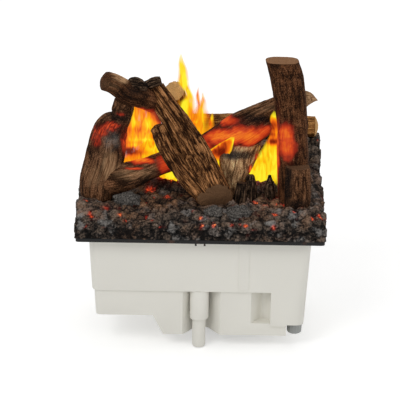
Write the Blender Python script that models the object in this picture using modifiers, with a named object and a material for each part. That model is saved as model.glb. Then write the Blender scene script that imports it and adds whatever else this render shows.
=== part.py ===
"""Electric fireplace insert with a water-mist flame, modelled at its real size.

A moulded white sump hangs from a black steel frame that drops into a hearth cut-out. It holds the mist
generator, fan, lamps, electronics and a lift-out water tank. A moulded ember bed with glued-on logs
lifts off the frame. Metres, +Z up, front towards -Y, origin at the bottom centre of the whole insert.
"""

import math

import bmesh
import bpy
import numpy as np
from mathutils import Matrix, Vector, noise

# Overall sizes and the plane that hangs on the hearth
BED_W = 0.405
BED_D = 0.290
RIM_Z = 0.195
PILE_H = 0.2765
FIT = 0.0003
OVERRUN = 0.004

# Black steel frame: a flat ring with an upturned lip and two punched hooks
BED_OVERHANG = 0.0025
SHEET = 0.0015
LIP_H = 0.006
FRAME_CORNER_R = 0.005
SEAT_DEPTH = 0.0005
SEAT_MARGIN = 0.0035
HOOK_W = 0.003
HOOK_L = 0.008
HOOK_PITCH = 0.0143

# White sump moulding
TUB_INSET_X = 0.022
TUB_INSET_Y = 0.0225
TUB_W = BED_W - 2 * TUB_INSET_X
TUB_D = BED_D - 2 * TUB_INSET_Y
WALL = 0.0025
DRAFT = math.radians(3)
TUB_CORNER_R = 0.012
FLANGE_W = 0.006
FLANGE_T = 0.003
TRAY_DEPTH = 0.0935
STEP_IN = 0.0035
LEFT_WELL_DEPTH = 0.139
TANK_WELL_DEPTH = 0.152
TANK_WELL_W = 0.0635
TANK_WELL_LEFT = TUB_W / 2 - TANK_WELL_W
BASE_BELOW_TANK = 0.021
BASE_DEPTH = TANK_WELL_DEPTH + BASE_BELOW_TANK
LEFT_WELL_W = 0.1045
BASE_SLANT = 0.017
BASE_LEFT_TOP = LEFT_WELL_W - TUB_W / 2
BASE_LEFT_BOTTOM = BASE_LEFT_TOP + BASE_SLANT
BASE_RIGHT_INSET = 0.037
BASE_RIGHT = TUB_W / 2 - BASE_RIGHT_INSET
RIB_W = 0.017
RIB_INSET = 0.072
RIB_X = BASE_RIGHT - RIB_INSET
RIB_PROUD = 0.001

# Two hollows in the sump's lower front, with a round bulge between them
HOLLOW_1_W = 0.078
HOLLOW_1_X = 0.004
HOLLOW_1_LEFT = HOLLOW_1_X - HOLLOW_1_W / 2
HOLLOW_1_RIGHT = HOLLOW_1_X + HOLLOW_1_W / 2
HOLLOW_1_DEPTH = 0.036
HOLLOW_2_W = 0.039
HOLLOW_2_LEFT = TANK_WELL_LEFT - HOLLOW_2_W
HOLLOW_2_MIDDLE = 0.028
HOLLOW_2_X = HOLLOW_2_LEFT + HOLLOW_2_MIDDLE
HOLLOW_2_DEPTH = 0.024
HOLLOW_2_FOOT = 0.022
HOLLOW_STEPS = 14

# Drain sleeve and spout
SPOUT_X = 0.0
SPOUT_SETBACK = 0.019
SLEEVE_R = 0.0155
SLEEVE_TAIL = 0.052
SPOUT_R = 0.011
SPOUT_BORE_R = 0.008
SPOUT_TIP_R = 0.0025
SLEEVE_EDGE_R = 0.003
ARC_SHARE = 0.29

# Screw cap under the tank well
CAP_INSET = 0.0225
CAP_X = TUB_W / 2 - CAP_INSET
CAP_SETBACK = 0.030
CAP_TOP_R = 0.0130
CAP_BOTTOM_R = 0.0118
CAP_RIBS = 14
CAP_RIB_DEPTH = 0.0008
CAP_WALL = 0.002
SPIGOT_R = 0.0085
SPIGOT_BORE_R = 0.0065
SPIGOT_L = 0.016
CAP_SEAL_T = 0.0015

# Deck over the electrics
DECK_DROP = 0.040
DECK_T = 0.002
DECK_GAP = 0.0015
PARTITION_T = 0.002
PARTITION_INSET = 0.0035
PARTITION_X = TANK_WELL_LEFT - PARTITION_INSET
DECK_RIGHT = PARTITION_X - PARTITION_INSET
PARTITION_DROP = 0.045
STRIP_W = 0.010
STRIP_T = 0.0015
POST_R = 0.0045
POST_INSET_X = 0.020
POST_INSET_Y = 0.026

# Mist pot, nozzle and nebuliser
POT_X_SHARE = 0.5858
POT_X = BASE_LEFT_BOTTOM + POT_X_SHARE * (DECK_RIGHT - BASE_LEFT_BOTTOM)
POT_Y = 0.022
POT_R = 0.040
POT_WALL = 0.002
POT_FOOT_H = 0.006
POT_FOOT_W = 0.016
NOZZLE_FLANGE_W = 0.004
NOZZLE_FLANGE_T = 0.002
OUTLET_X = 0.004
MOUTH_MARGIN = 0.008
NOZZLE_MOUTH_W = 2 * (DECK_RIGHT - OUTLET_X - MOUTH_MARGIN)
NOZZLE_MOUTH_D = 0.034
NOZZLE_H = 0.050
NOZZLE_SIDES = 20
NEB_R = 0.024
NEB_H = 0.024
NEB_CUP_DEPTH = 0.005
NEB_CUP_R = 0.0155
DISC_R = 0.0105
DISC_T = 0.0012
SEAL_R = 0.0128
SEAL_T = 0.0016

# Fan on the pot's side port
FAN_SIZE = 0.050
FAN_T = 0.015
FAN_DROP = 0.045
FAN_BORE_R = 0.0225
FAN_TIP_GAP = 0.0012
HUB_R = 0.0095
HUB_T = 0.009
BLADES = 7
BLADE_T = 0.0012
BLADE_PITCH = math.radians(40)
BLADE_TWIST = math.radians(18)
STRUT_W = 0.003
STRUT_T = 0.002
STRUTS = 3
FAN_SHAFT_R = 0.0015
PORT_L = 0.012
AIR_FILTER_T = 0.005

# Level float
FLOAT_INSET_X = 0.029
FLOAT_OFFSET_Y = 0.068
FLOAT_X = BASE_LEFT_BOTTOM + FLOAT_INSET_X
FLOAT_Y = POT_Y - FLOAT_OFFSET_Y
STEM_R = 0.003
STEM_H = 0.060
STEM_BASE_R = 0.008
STEM_BASE_T = 0.003
STEM_HEAD_R = 0.0055
STEM_HEAD_T = 0.002
FLOAT_R = 0.011
FLOAT_H = 0.016
FLOAT_PLAY = 0.0008

# Lamps and colour filter beside the nozzle
LAMP_GAP = 0.001
LAMP_COUNT = 3
LAMP_R = 0.0045
LAMP_H = 0.022
LAMP_PIN_R = 0.0018
LAMP_PIN_L = 0.004
SOCKET_W = 0.014
SOCKET_H = 0.012
RAIL_INSET = 0.008
RAIL_W = NOZZLE_MOUTH_W - 2 * RAIL_INSET
LAMP_END_ROOM = 0.006
LAMP_PITCH = (RAIL_W - LAMP_END_ROOM) / LAMP_COUNT
RAIL_D = 0.014
RAIL_H = 0.004
GLASS_SETBACK = 0.012
GLASS_INSET = 0.005
GLASS_W = NOZZLE_MOUTH_W - 2 * GLASS_INSET
GLASS_H = 0.040
GLASS_T = 0.002

# Electronics in the left well
BOARD_W = 0.078
BOARD_END_ROOM = 0.125
BOARD_D = TUB_D - BOARD_END_ROOM
BOARD_T = 0.0016
BOARD_RISE = 0.012
BOARD_INSET_X = 0.0585
BOARD_INSET_Y = 0.0325
BOARD_X = BOARD_INSET_X - TUB_W / 2
BOARD_Y = BOARD_INSET_Y + BOARD_D / 2 - TUB_D / 2
STANDOFF_R = 0.003
STANDOFF_INSET = 0.007
RELAY_W = 0.016
RELAY_D = 0.028
RELAY_H = 0.015
RELAY_PITCH = 0.024
CORE_W = 0.048
CORE_D = 0.034
CORE_H = 0.036
CORE_LIMB_W = 0.010
COIL_GROW = 0.006
TRANSFORMER_SETBACK = 0.0475
TRANSFORMER_Y = TUB_D / 2 - TRANSFORMER_SETBACK
INLET_INSET = 0.0605
INLET_X = INLET_INSET - TUB_W / 2
INLET_DROP = 0.056
INLET_W = 0.028
INLET_H = 0.020
INLET_L = 0.020
INLET_FLANGE = 0.004
INLET_FLANGE_T = 0.002
INLET_WALL = 0.002
INLET_RECESS = 0.014
LEAD_R = 0.002
LEAD_BEND_SHARE = 0.08
VENT_SLOTS = 8
VENT_PITCH = 0.008
VENT_W = 0.003
VENT_H = 0.030
VENT_OFFSET = 0.060
VENT_X = POT_X - VENT_OFFSET
VENT_DROP = 0.050

# Controls on the deck
SWITCH_INSET = 0.0555
SWITCH_X = SWITCH_INSET - TUB_W / 2
CONTROLS_SETBACK = 0.0375
CONTROLS_Y = CONTROLS_SETBACK - TUB_D / 2
SWITCH_W = 0.015
SWITCH_L = 0.021
BEZEL_W = 0.0025
BEZEL_T = 0.0015
SWITCH_BODY_H = 0.014
ROCKER_TILT = math.radians(8)
ROCKER_H = 0.008
ROCKER_PLAY = 0.0008
KNOB_PITCH = 0.043
KNOB_X = SWITCH_X + KNOB_PITCH
KNOB_R = 0.011
KNOB_H = 0.013
KNOB_FLUTES = 12
KNOB_FLUTE_R = 0.0016
KNOB_BORE_L = 0.009
KNOB_SHAFT_R = 0.003
KNOB_BODY_W = 0.016
KNOB_BODY_H = 0.010
KNOB_GAP = 0.001

# Water tank, its cap, valve and handle
TANK_W = 0.046
TANK_SETBACK = 0.0245
TANK_D = TUB_D - 2 * TANK_SETBACK
TANK_H = 0.120
TANK_SIDE_GAP = 0.012
TANK_X = TUB_W / 2 - TANK_SIDE_GAP - TANK_W / 2
TANK_WALL = 0.002
TANK_CORNER_R = 0.010
TANK_STANDOFF = 0.0155
TANK_SHELF_T = 0.003
SHELF_SETBACK = 0.0327
NECK_SETBACK = 0.058
NECK_Y = NECK_SETBACK - TANK_D / 2
NECK_R = 0.0150
NECK_BORE_R = 0.0125
TANK_CAP_R = 0.0185
TANK_CAP_H = 0.0115
TANK_CAP_WALL = 0.002
TANK_CAP_RIBS = 14
TANK_CAP_RIB_DEPTH = 0.0007
TANK_CAP_SEAL_T = 0.0012
VALVE_R = 0.002
VALVE_PLAY = 0.0004
VALVE_HEAD_R = 0.005
VALVE_HEAD_T = 0.0015
VALVE_TIP = 0.001
VALVE_TRAVEL = 0.004
SPRING_WIRE_R = 0.0005
SPRING_R = 0.0040
SPRING_TURNS = 4
HANDLE_WIRE_R = 0.0022
HANDLE_SPAN = 0.092
HANDLE_REACH = 0.026
HANDLE_PIVOT_X = -0.014
EAR_T = 0.004
EAR_R = 0.0052
EAR_RISE = 0.0025
HANDLE_PLAY = 0.0005

# Frame screws
SCREW_HEAD_R = 0.0030
SCREW_HEAD_H = 0.0018
SCREW_R = 0.0015
SCREW_L = 0.0035
SCREW_PLAY = 0.0004
SCREW_X_SHARE = 0.30

# Ember bed shell
BED_H = 0.112
BED_SKIRT_T = 0.012
BED_ROOF_T = 0.014
LUMP_H = 0.0055
LUMP_SIZE = 0.030
LUMP_WARP_SIZE = 0.022
LUMP_WARP_SHARE = 0.35
BED_STEP = 0.0130
CAVITY_STEP = 0.036
OUTLET_SHIFT = 0.008
OUTLET_Y = POT_Y - OUTLET_SHIFT
OUTLET_MARGIN = 0.009
OUTLET_W = NOZZLE_MOUTH_W + 2 * OUTLET_MARGIN
OUTLET_D = 0.062
OUTLET_R = 0.014

# Rise of the bed from its front edge to its back edge, as shares of BED_D and BED_H
BED_RISE_SHARES = (
    (0.00, 0.24), (0.05, 0.33), (0.14, 0.40), (0.30, 0.45), (0.45, 0.47),
    (0.60, 0.52), (0.72, 0.72), (0.84, 0.90), (1.00, 0.88),
)
# The heap falls away behind the left trunk: shares of BED_W and BED_D where the fall starts and
# where it is deepest, and its depth as a share of BED_H
FALL_FROM_SHARES = (-0.18, 0.02)
FALL_TO_SHARES = (-0.34, 0.32)
FALL_SHARE = 0.46

# Logs: the half width of each at its thickest
UPRIGHT_R = 0.0265
STUB_R = 0.0215
DIAGONAL_R = 0.0240
STRAND_R = 0.0150
BRANCH_R = 0.0190
TRUNK_R = 0.0290
LIMB_R = 0.0230
SLOPING_R = 0.0320
PROP_R = 0.0300
BACK_R = 0.0180
LEANING_R = 0.0175
LEFT_CHIP_R = 0.0090
RIGHT_CHIP_R = 0.0080
CHAR_1_R = 0.0115
CHAR_2_R = 0.0100
SPIKE_R = 0.0110
COAL_R = 0.0125
LOG_SIDES = 12
LOG_RINGS = 6
LOG_ROUGHNESS = 0.05
LOG_GRAIN = 0.035

# Paths of the logs: shares of BED_W and BED_D from the middle and of PILE_H above the rim, and
# then the half widths there, across and to the front, as shares of the log's own
UPRIGHT_SHARES = (
    (0.378, -0.178, 0.155, 0.96, 0.94), (0.364, -0.162, 0.480, 0.94, 0.91),
    (0.358, -0.147, 0.651, 0.94, 0.91), (0.337, -0.121, 0.873, 0.99, 0.91),
    (0.316, -0.112, 1.000, 0.96, 0.85),
)
STUB_SHARES = (
    (0.388, -0.266, 0.155, 1.00, 0.84), (0.387, -0.260, 0.278, 0.97, 0.84),
    (0.385, -0.257, 0.401, 0.91, 0.79),
)
DIAGONAL_SHARES = (
    (0.066, -0.303, 0.212, 1.00, 0.98), (-0.010, -0.224, 0.416, 0.97, 0.95),
    (-0.091, -0.155, 0.597, 0.85, 0.85), (-0.194, -0.071, 0.796, 0.71, 0.71),
)
STRAND_SHARES = (
    (0.018, -0.331, 0.215, 1.00, 0.93), (-0.079, -0.272, 0.344, 1.00, 0.93),
    (-0.143, -0.221, 0.470, 0.83, 0.80), (-0.188, -0.172, 0.579, 0.57, 0.60),
)
BRANCH_SHARES = (
    (-0.383, -0.241, 0.893, 0.82, 0.84), (-0.346, -0.210, 0.864, 0.87, 0.89),
    (-0.296, -0.172, 0.807, 1.00, 0.95), (-0.242, -0.131, 0.767, 0.95, 0.95),
    (-0.193, -0.093, 0.723, 0.87, 0.89),
)
TRUNK_SHARES = (
    (-0.417, -0.214, 0.158, 0.83, 0.83), (-0.419, -0.207, 0.264, 1.00, 0.86),
    (-0.398, -0.172, 0.398, 0.95, 0.83), (-0.374, -0.145, 0.517, 0.91, 0.76),
    (-0.346, -0.145, 0.597, 0.74, 0.66), (-0.323, -0.148, 0.684, 0.52, 0.52),
    (-0.310, -0.155, 0.749, 0.48, 0.48),
)
LIMB_SHARES = (
    (-0.385, -0.228, 0.278, 1.00, 0.96), (-0.296, -0.193, 0.300, 0.83, 0.83),
    (-0.210, -0.159, 0.344, 0.72, 0.74), (-0.111, -0.121, 0.394, 0.72, 0.72),
)
SLOPING_SHARES = (
    (-0.040, -0.017, 0.412, 0.59, 0.59), (0.025, -0.010, 0.438, 0.62, 0.62),
    (0.153, 0.014, 0.514, 1.00, 0.81), (0.284, 0.034, 0.629, 0.75, 0.66), (0.370, 0.048, 0.694, 0.50, 0.47),
    (0.422, 0.059, 0.716, 0.39, 0.38), (0.466, 0.064, 0.705, 0.06, 0.09),
)
PROP_SHARES = (
    (0.143, -0.159, 0.163, 0.25, 0.33), (0.146, -0.128, 0.242, 0.35, 0.40),
    (0.148, -0.090, 0.325, 0.70, 0.53), (0.163, -0.048, 0.416, 0.93, 0.60),
    (0.183, -0.021, 0.474, 1.00, 0.60),
)
BACK_SHARES = (
    (-0.093, 0.407, 0.425, 1.00, 1.00), (0.198, 0.409, 0.427, 1.00, 1.00),
    (0.475, 0.407, 0.422, 1.00, 1.00),
)
LEANING_SHARES = (
    (-0.114, 0.086, 0.741, 0.94, 0.94), (-0.098, 0.228, 0.597, 0.98, 0.97),
    (-0.081, 0.370, 0.450, 1.00, 0.97),
)
LEFT_CHIP_SHARES = (
    (-0.305, -0.172, 0.854, 0.72, 0.89), (-0.265, -0.172, 0.859, 0.94, 1.00),
    (-0.226, -0.166, 0.837, 0.61, 0.83),
)
RIGHT_CHIP_SHARES = (
    (-0.226, -0.103, 0.839, 0.44, 0.62), (-0.194, -0.100, 0.852, 0.69, 0.94),
    (-0.168, -0.097, 0.859, 0.75, 0.88),
)
CHAR_1_SHARES = (
    (0.158, -0.228, 0.156, 1.00, 0.96), (0.162, -0.221, 0.221, 0.97, 0.96),
    (0.165, -0.214, 0.278, 0.74, 0.78),
)
CHAR_2_SHARES = (
    (0.204, -0.200, 0.159, 1.00, 1.00), (0.200, -0.193, 0.242, 1.00, 1.00),
    (0.197, -0.186, 0.315, 0.60, 0.70),
)
SPIKE_SHARES = (
    (0.279, -0.179, 0.156, 1.00, 0.82), (0.277, -0.172, 0.242, 0.68, 0.64),
    (0.276, -0.166, 0.311, 0.20, 0.20),
)
# Places of the loose coals as shares of the same sizes, and each one's size as a share of COAL_R
COAL_SHARES = ((-0.294, -0.304, 0.192, 1.35), (0.052, -0.386, 0.158, 1.00), (0.150, -0.379, 0.156, 1.30))

SMOOTH = math.radians(40)


# Scene, collections and materials

def clear_scene():
    for obj in list(bpy.data.objects):
        bpy.data.objects.remove(obj, do_unlink=True)


def new_collection(name):
    collection = bpy.data.collections.new(name)
    bpy.context.scene.collection.children.link(collection)
    return collection


def material(name, colour, roughness, metallic=0.0, alpha=1.0):
    made = bpy.data.materials.new(name)
    made.use_nodes = True
    shader = made.node_tree.nodes["Principled BSDF"]
    shader.inputs["Base Color"].default_value = (*colour, 1.0)
    shader.inputs["Roughness"].default_value = roughness
    shader.inputs["Metallic"].default_value = metallic
    shader.inputs["Alpha"].default_value = alpha
    made.diffuse_color = (*colour, alpha)
    return made


clear_scene()
PARTS = new_collection("electric_fireplace_insert")
CUTTERS = new_collection("cutters")
WHITE_PLASTIC = material("white_plastic", (0.78, 0.77, 0.73), 0.45)
BLACK_STEEL = material("black_steel", (0.02, 0.018, 0.016), 0.35, 0.6)
COAL = material("coal", (0.045, 0.042, 0.040), 0.85)
BARK = material("bark", (0.13, 0.075, 0.045), 0.85)
CUT_WOOD = material("cut_wood", (0.42, 0.25, 0.13), 0.8)
CHARRED = material("charred_wood", (0.05, 0.035, 0.028), 0.9)
GREY_PLASTIC = material("grey_plastic", (0.45, 0.46, 0.44), 0.5)
BLACK_PLASTIC = material("black_plastic", (0.03, 0.03, 0.03), 0.5)
CLEAR_PLASTIC = material("clear_plastic", (0.75, 0.80, 0.82), 0.15, 0.0, 0.35)
RUBBER = material("rubber", (0.04, 0.04, 0.04), 0.8)
STEEL = material("steel", (0.6, 0.6, 0.6), 0.3, 1.0)
CIRCUIT = material("circuit_board", (0.03, 0.20, 0.08), 0.5)
CERAMIC = material("ceramic", (0.85, 0.83, 0.78), 0.5)
AMBER = material("amber_filter", (0.9, 0.35, 0.04), 0.2, 0.0, 0.6)
FOAM = material("foam", (0.12, 0.12, 0.12), 0.95)


# Mesh helpers

def link(obj, cutter):
    (CUTTERS if cutter else PARTS).objects.link(obj)
    if cutter:
        obj.hide_render = True
        obj.display_type = "WIRE"
    return obj


def mesh_object(name, bm, finish=None, smooth=None, cutter=False):
    """Turns a bmesh into an object, in the parts or in the cutters."""
    bmesh.ops.recalc_face_normals(bm, faces=bm.faces)
    mesh = bpy.data.meshes.new(name)
    bm.to_mesh(mesh)
    bm.free()
    if finish:
        mesh.materials.append(finish)
    if smooth:
        mesh.shade_smooth()
        mesh.set_sharp_from_angle(angle=smooth)
    return link(bpy.data.objects.new(name, mesh), cutter)


def boolean(obj, others, operation, solver="EXACT"):
    for other in others:
        modifier = obj.modifiers.new(f"{operation.lower()}_{other.name}", "BOOLEAN")
        modifier.operation = operation
        modifier.object = other
        modifier.solver = solver
    return obj


def cut(obj, *others, solver="EXACT"):
    return boolean(obj, others, "DIFFERENCE", solver)


def join(obj, *others):
    return boolean(obj, others, "UNION")


def turn_to(axis):
    return Vector(axis).to_track_quat("Z", "Y").to_matrix().to_4x4()


def box(name, low, high, finish=None, cutter=False, edge=0.0):
    """A box between two corners, with rounded edges where edge is given."""
    low, high = Vector(low), Vector(high)
    bm = bmesh.new()
    place = Matrix.Translation((low + high) / 2) @ Matrix.Diagonal((*(high - low), 1.0))
    bmesh.ops.create_cube(bm, size=1.0, matrix=place)
    if edge:
        bmesh.ops.bevel(bm, geom=bm.edges[:], offset=edge, segments=2, affect="EDGES", profile=0.5)
    return mesh_object(name, bm, finish, cutter=cutter)


def slab(name, half_w, half_d, z0, z1, corner, finish=None, cutter=False, centre=(0, 0), drawn=0.0):
    """An upright block with rounded corners, whose foot is drawn in by drawn."""
    bm = bmesh.new()
    place = Matrix.Translation((*centre, (z0 + z1) / 2))
    place @= Matrix.Diagonal((2 * half_w, 2 * half_d, z1 - z0, 1))
    bmesh.ops.create_cube(bm, size=1.0, matrix=place)
    for vert in bm.verts:
        if vert.co.z < (z0 + z1) / 2:
            vert.co.x += math.copysign(drawn, centre[0] - vert.co.x)
            vert.co.y += math.copysign(drawn, centre[1] - vert.co.y)
    upright = [e for e in bm.edges if abs(e.verts[0].co.z - e.verts[1].co.z) > (z1 - z0) / 2]
    bmesh.ops.bevel(bm, geom=upright, offset=corner, segments=3, affect="EDGES", profile=0.5)
    return mesh_object(name, bm, finish, SMOOTH, cutter)


def rod(name, centre, axis, radius, length, finish=None, cutter=False, sides=20, tip=None):
    """A cylinder, or a cone where tip is given, from centre along axis."""
    bm = bmesh.new()
    place = Matrix.Translation(Vector(centre)) @ turn_to(axis) @ Matrix.Translation((0, 0, length / 2))
    bmesh.ops.create_cone(
        bm, cap_ends=True, segments=sides, radius1=radius,
        radius2=radius if tip is None else tip, depth=length, matrix=place,
    )
    return mesh_object(name, bm, finish, SMOOTH, cutter)


def turned(name, profile, centre, finish=None, sides=24, cutter=False, axis=(0, 0, 1)):
    """A closed profile of (radius, height) points, turned about an axis through centre."""
    mesh = bpy.data.meshes.new(name)
    bm = bmesh.new()
    points = [bm.verts.new((radius, 0, height)) for radius, height in profile]
    for start, end in zip(points, points[1:] + points[:1]):
        if start.co.x or end.co.x:
            bm.edges.new((start, end))
    bm.to_mesh(mesh)
    bm.free()
    obj = bpy.data.objects.new(name, mesh)
    if finish:
        mesh.materials.append(finish)
    screw = obj.modifiers.new("turn", "SCREW")
    screw.steps = screw.render_steps = sides
    screw.use_merge_vertices = True
    screw.merge_threshold = 0.00001
    obj.matrix_world = Matrix.Translation(Vector(centre)) @ turn_to(axis)
    return link(obj, cutter)


def loft(name, loops, finish=None, cutter=False, smooth=None):
    """A skin through loops of equal length, capped at its two ends."""
    bm = bmesh.new()
    rings = [[bm.verts.new(point) for point in loop] for loop in loops]
    for lower, upper in zip(rings, rings[1:]):
        for i in range(len(lower)):
            j = (i + 1) % len(lower)
            bm.faces.new((lower[i], lower[j], upper[j]))
            bm.faces.new((lower[i], upper[j], upper[i]))
    bm.faces.new(rings[0][::-1])
    bm.faces.new(rings[-1])
    return mesh_object(name, bm, finish, smooth, cutter)


def wire(name, points, radius, finish, resolution=2):
    """A round wire or lead along a line of points."""
    curve = bpy.data.curves.new(name, "CURVE")
    curve.dimensions = "3D"
    curve.bevel_depth = radius
    curve.bevel_resolution = resolution
    curve.use_fill_caps = True
    spline = curve.splines.new("POLY")
    spline.points.add(len(points) - 1)
    for point, place in zip(spline.points, points):
        point.co = (*place, 1.0)
    curve.materials.append(finish)
    obj = bpy.data.objects.new(name, curve)
    PARTS.objects.link(obj)
    return obj


def smooth_line(points, per_span):
    """Points on a smooth curve through the given ones, per_span to each span."""
    points = [Vector(point) for point in points]
    ends = [points[0] * 2 - points[1], *points, points[-1] * 2 - points[-2]]
    line = []
    for a, b, c, d in zip(ends, ends[1:], ends[2:], ends[3:]):
        for step in range(per_span):
            t = step / per_span
            bend = (b * 3 - a - c * 3 + d) * t**3
            line.append((b * 2 + (c - a) * t + (a * 2 - b * 5 + c * 4 - d) * t**2 + bend) / 2)
    return [*line, points[-1]]


def carry(name, place, *objects):
    """Parents the pieces to an empty on their joint's axis, where they are."""
    empty = bpy.data.objects.new(name, None)
    empty.location = place
    PARTS.objects.link(empty)
    bpy.context.view_layer.update()
    for obj in objects:
        obj.parent = empty
        obj.matrix_parent_inverse = empty.matrix_world.inverted()
    return empty


# Levels and places that several pieces share

LEDGE_Z = RIM_Z - TRAY_DEPTH
LEFT_FLOOR_Z = RIM_Z - LEFT_WELL_DEPTH
TANK_FLOOR_Z = RIM_Z - TANK_WELL_DEPTH
BASE_Z = RIM_Z - BASE_DEPTH
UP = (0, 0, 1)
DECK_Z = RIM_Z - DECK_DROP
DECK_TOP = DECK_Z + DECK_T
FRAME_HALF_W = BED_W / 2 - BED_OVERHANG
FRAME_HALF_D = BED_D / 2 - BED_OVERHANG
TUB_FRONT = -TUB_D / 2


def drawn_in(z):
    """How far the drafted walls have come in at this height."""
    return (RIM_Z - z) * math.tan(DRAFT)


def lower_front(z):
    """The front face of the sump below the ledge."""
    return TUB_FRONT + drawn_in(z) + STEP_IN


# White sump

def sump_outline(inset, top):
    """The sump seen from the front: left well, sloping base and tank well."""
    half = TUB_W / 2 - inset
    return (
        (-half + drawn_in(LEFT_FLOOR_Z), LEFT_FLOOR_Z + inset),
        (BASE_LEFT_TOP + inset, LEFT_FLOOR_Z + inset),
        (BASE_LEFT_BOTTOM + inset, BASE_Z + inset),
        (BASE_RIGHT - inset, BASE_Z + inset),
        (BASE_RIGHT - inset, TANK_FLOOR_Z + inset),
        (half - drawn_in(TANK_FLOOR_Z), TANK_FLOOR_Z + inset),
        (half - drawn_in(top), top),
        (-half + drawn_in(top), top),
    )


def sump_block(name, inset, top, cutter):
    """The outline run through from front to back, with drafted and rounded walls."""
    half = TUB_D / 2 - inset
    bm = bmesh.new()
    rings = []
    for side in (-1, 1):
        rings.append([bm.verts.new((x, side * (half - drawn_in(z)), z)) for x, z in sump_outline(inset, top)])
    front, back = rings
    count = len(front)
    for i in range(count):
        j = (i + 1) % count
        bm.faces.new((front[i], front[j], back[j], back[i]))
    bm.faces.new(front[::-1])
    bm.faces.new(back)
    ends = ((count - 1, 0), (count - 3, count - 2))
    corners = [bm.edges.get((ring[a], ring[b])) for ring in rings for a, b in ends]
    bmesh.ops.bevel(bm, geom=corners, offset=TUB_CORNER_R - inset, segments=3, affect="EDGES", profile=0.5)
    return mesh_object(name, bm, None if cutter else WHITE_PLASTIC, SMOOTH, cutter)


def lower_step_cutter(name, inset):
    """What the lower walls are set in by: a thick frame round the base and the left well."""
    reach = TUB_W
    outline = (
        (-reach, -OVERRUN), (BASE_RIGHT + FIT, -OVERRUN), (BASE_RIGHT + FIT, TANK_FLOOR_Z - WALL + inset),
        (TANK_WELL_LEFT + inset, TANK_FLOOR_Z - WALL + inset), (TANK_WELL_LEFT + inset, LEDGE_Z + inset),
        (-reach, LEDGE_Z + inset),
    )
    frame = loft(name, [[(x, y, z) for x, z in outline] for y in (-reach, reach)], cutter=True)
    sunk = drawn_in(LEDGE_Z + OVERRUN)
    core = slab(
        f"{name}_core", TUB_W / 2 - STEP_IN - inset - sunk, TUB_D / 2 - STEP_IN - inset - sunk,
        -2 * OVERRUN, LEDGE_Z + OVERRUN, TUB_CORNER_R - STEP_IN - inset, cutter=True,
        drawn=drawn_in(-2 * OVERRUN) - sunk,
    )
    return cut(frame, core)


def hollow_cutter(name, left, deepest, right, depth, foot, inset):
    """An upright hollow in the lower front, whose depth follows a squared cosine across it."""
    half = deepest - left + inset
    last = min(1.0, (right - deepest) / half)
    across = [-1 + (last + 1) * step / HOLLOW_STEPS for step in range(HOLLOW_STEPS + 1)]
    loops = []
    for z in (foot, LEDGE_Z + inset):
        face = lower_front(z)
        lip = face - OVERRUN
        reach = depth + OVERRUN + inset
        curve = [(deepest + t * half, lip + reach * math.cos(math.pi * t / 2) ** 2, z) for t in across]
        lead = face - 2 * OVERRUN
        loops.append([(curve[0][0], lead, z), *curve, (curve[-1][0], lead, z)])
    return loft(name, loops, cutter=True)


def sump_form(name, inset, top, cutter):
    """The whole sump as one solid: the outer form, or the inner one where inset is the wall."""
    form = sump_block(name, inset, top, cutter)
    return cut(
        form,
        lower_step_cutter(f"{name}_step", inset),
        hollow_cutter(
            f"{name}_hollow_1", HOLLOW_1_LEFT, HOLLOW_1_X, HOLLOW_1_RIGHT, HOLLOW_1_DEPTH, -OVERRUN, inset,
        ),
        hollow_cutter(
            f"{name}_hollow_2", HOLLOW_2_LEFT, HOLLOW_2_X, TANK_WELL_LEFT + inset, HOLLOW_2_DEPTH,
            BASE_Z + HOLLOW_2_FOOT - inset, inset,
        ),
    )



SLEEVE_Y = TUB_FRONT + SPOUT_SETBACK
SLEEVE_FOOT_Z = LEDGE_Z - SLEEVE_TAIL
BASE_FLOOR_Z = BASE_Z + WALL
PARTITION_FOOT_Z = LEDGE_Z + WALL + FIT
LEFT_WELL_FLOOR_Z = LEFT_FLOOR_Z + WALL
TANK_WELL_FLOOR_Z = TANK_FLOOR_Z + WALL
TANK_Z = TANK_WELL_FLOOR_Z + TANK_STANDOFF
TANK_CAP_Z = TANK_Z - TANK_CAP_H
CAP_Y = TUB_FRONT + CAP_SETBACK
SPIGOT_TIP_Z = TANK_FLOOR_Z - SPIGOT_L
POST_Y = TUB_D / 2 - POST_INSET_Y
LEG_LEFT_X = -TUB_W / 2 + POST_INSET_X
LEG_RIGHT_X = DECK_RIGHT - 2 * POST_R
DECK_LEGS = [
    (LEG_LEFT_X, -POST_Y, LEFT_WELL_FLOOR_Z), (LEG_LEFT_X, POST_Y, LEFT_WELL_FLOOR_Z),
    (LEG_RIGHT_X, -POST_Y, LEDGE_Z + WALL), (LEG_RIGHT_X, POST_Y, BASE_FLOOR_Z),
]


def flange_solid():
    top = RIM_Z + SEAT_DEPTH - FIT
    return slab(
        "tub_flange", TUB_W / 2 + FLANGE_W, TUB_D / 2 + FLANGE_W, top - FLANGE_T, top,
        TUB_CORNER_R + FLANGE_W, cutter=True,
    )


def front_rib():
    """The raised upright strip on the tray's front."""
    loops = []
    for z in (LEDGE_Z + OVERRUN, RIM_Z - FLANGE_T / 2):
        outer = TUB_FRONT + drawn_in(z) - RIB_PROUD
        inner = outer + RIB_PROUD + WALL / 2
        corners = ((-1, outer), (1, outer), (1, inner), (-1, inner))
        loops.append([(RIB_X + side * RIB_W / 2, y, z) for side, y in corners])
    return loft("tub_rib", loops, cutter=True)


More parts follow.
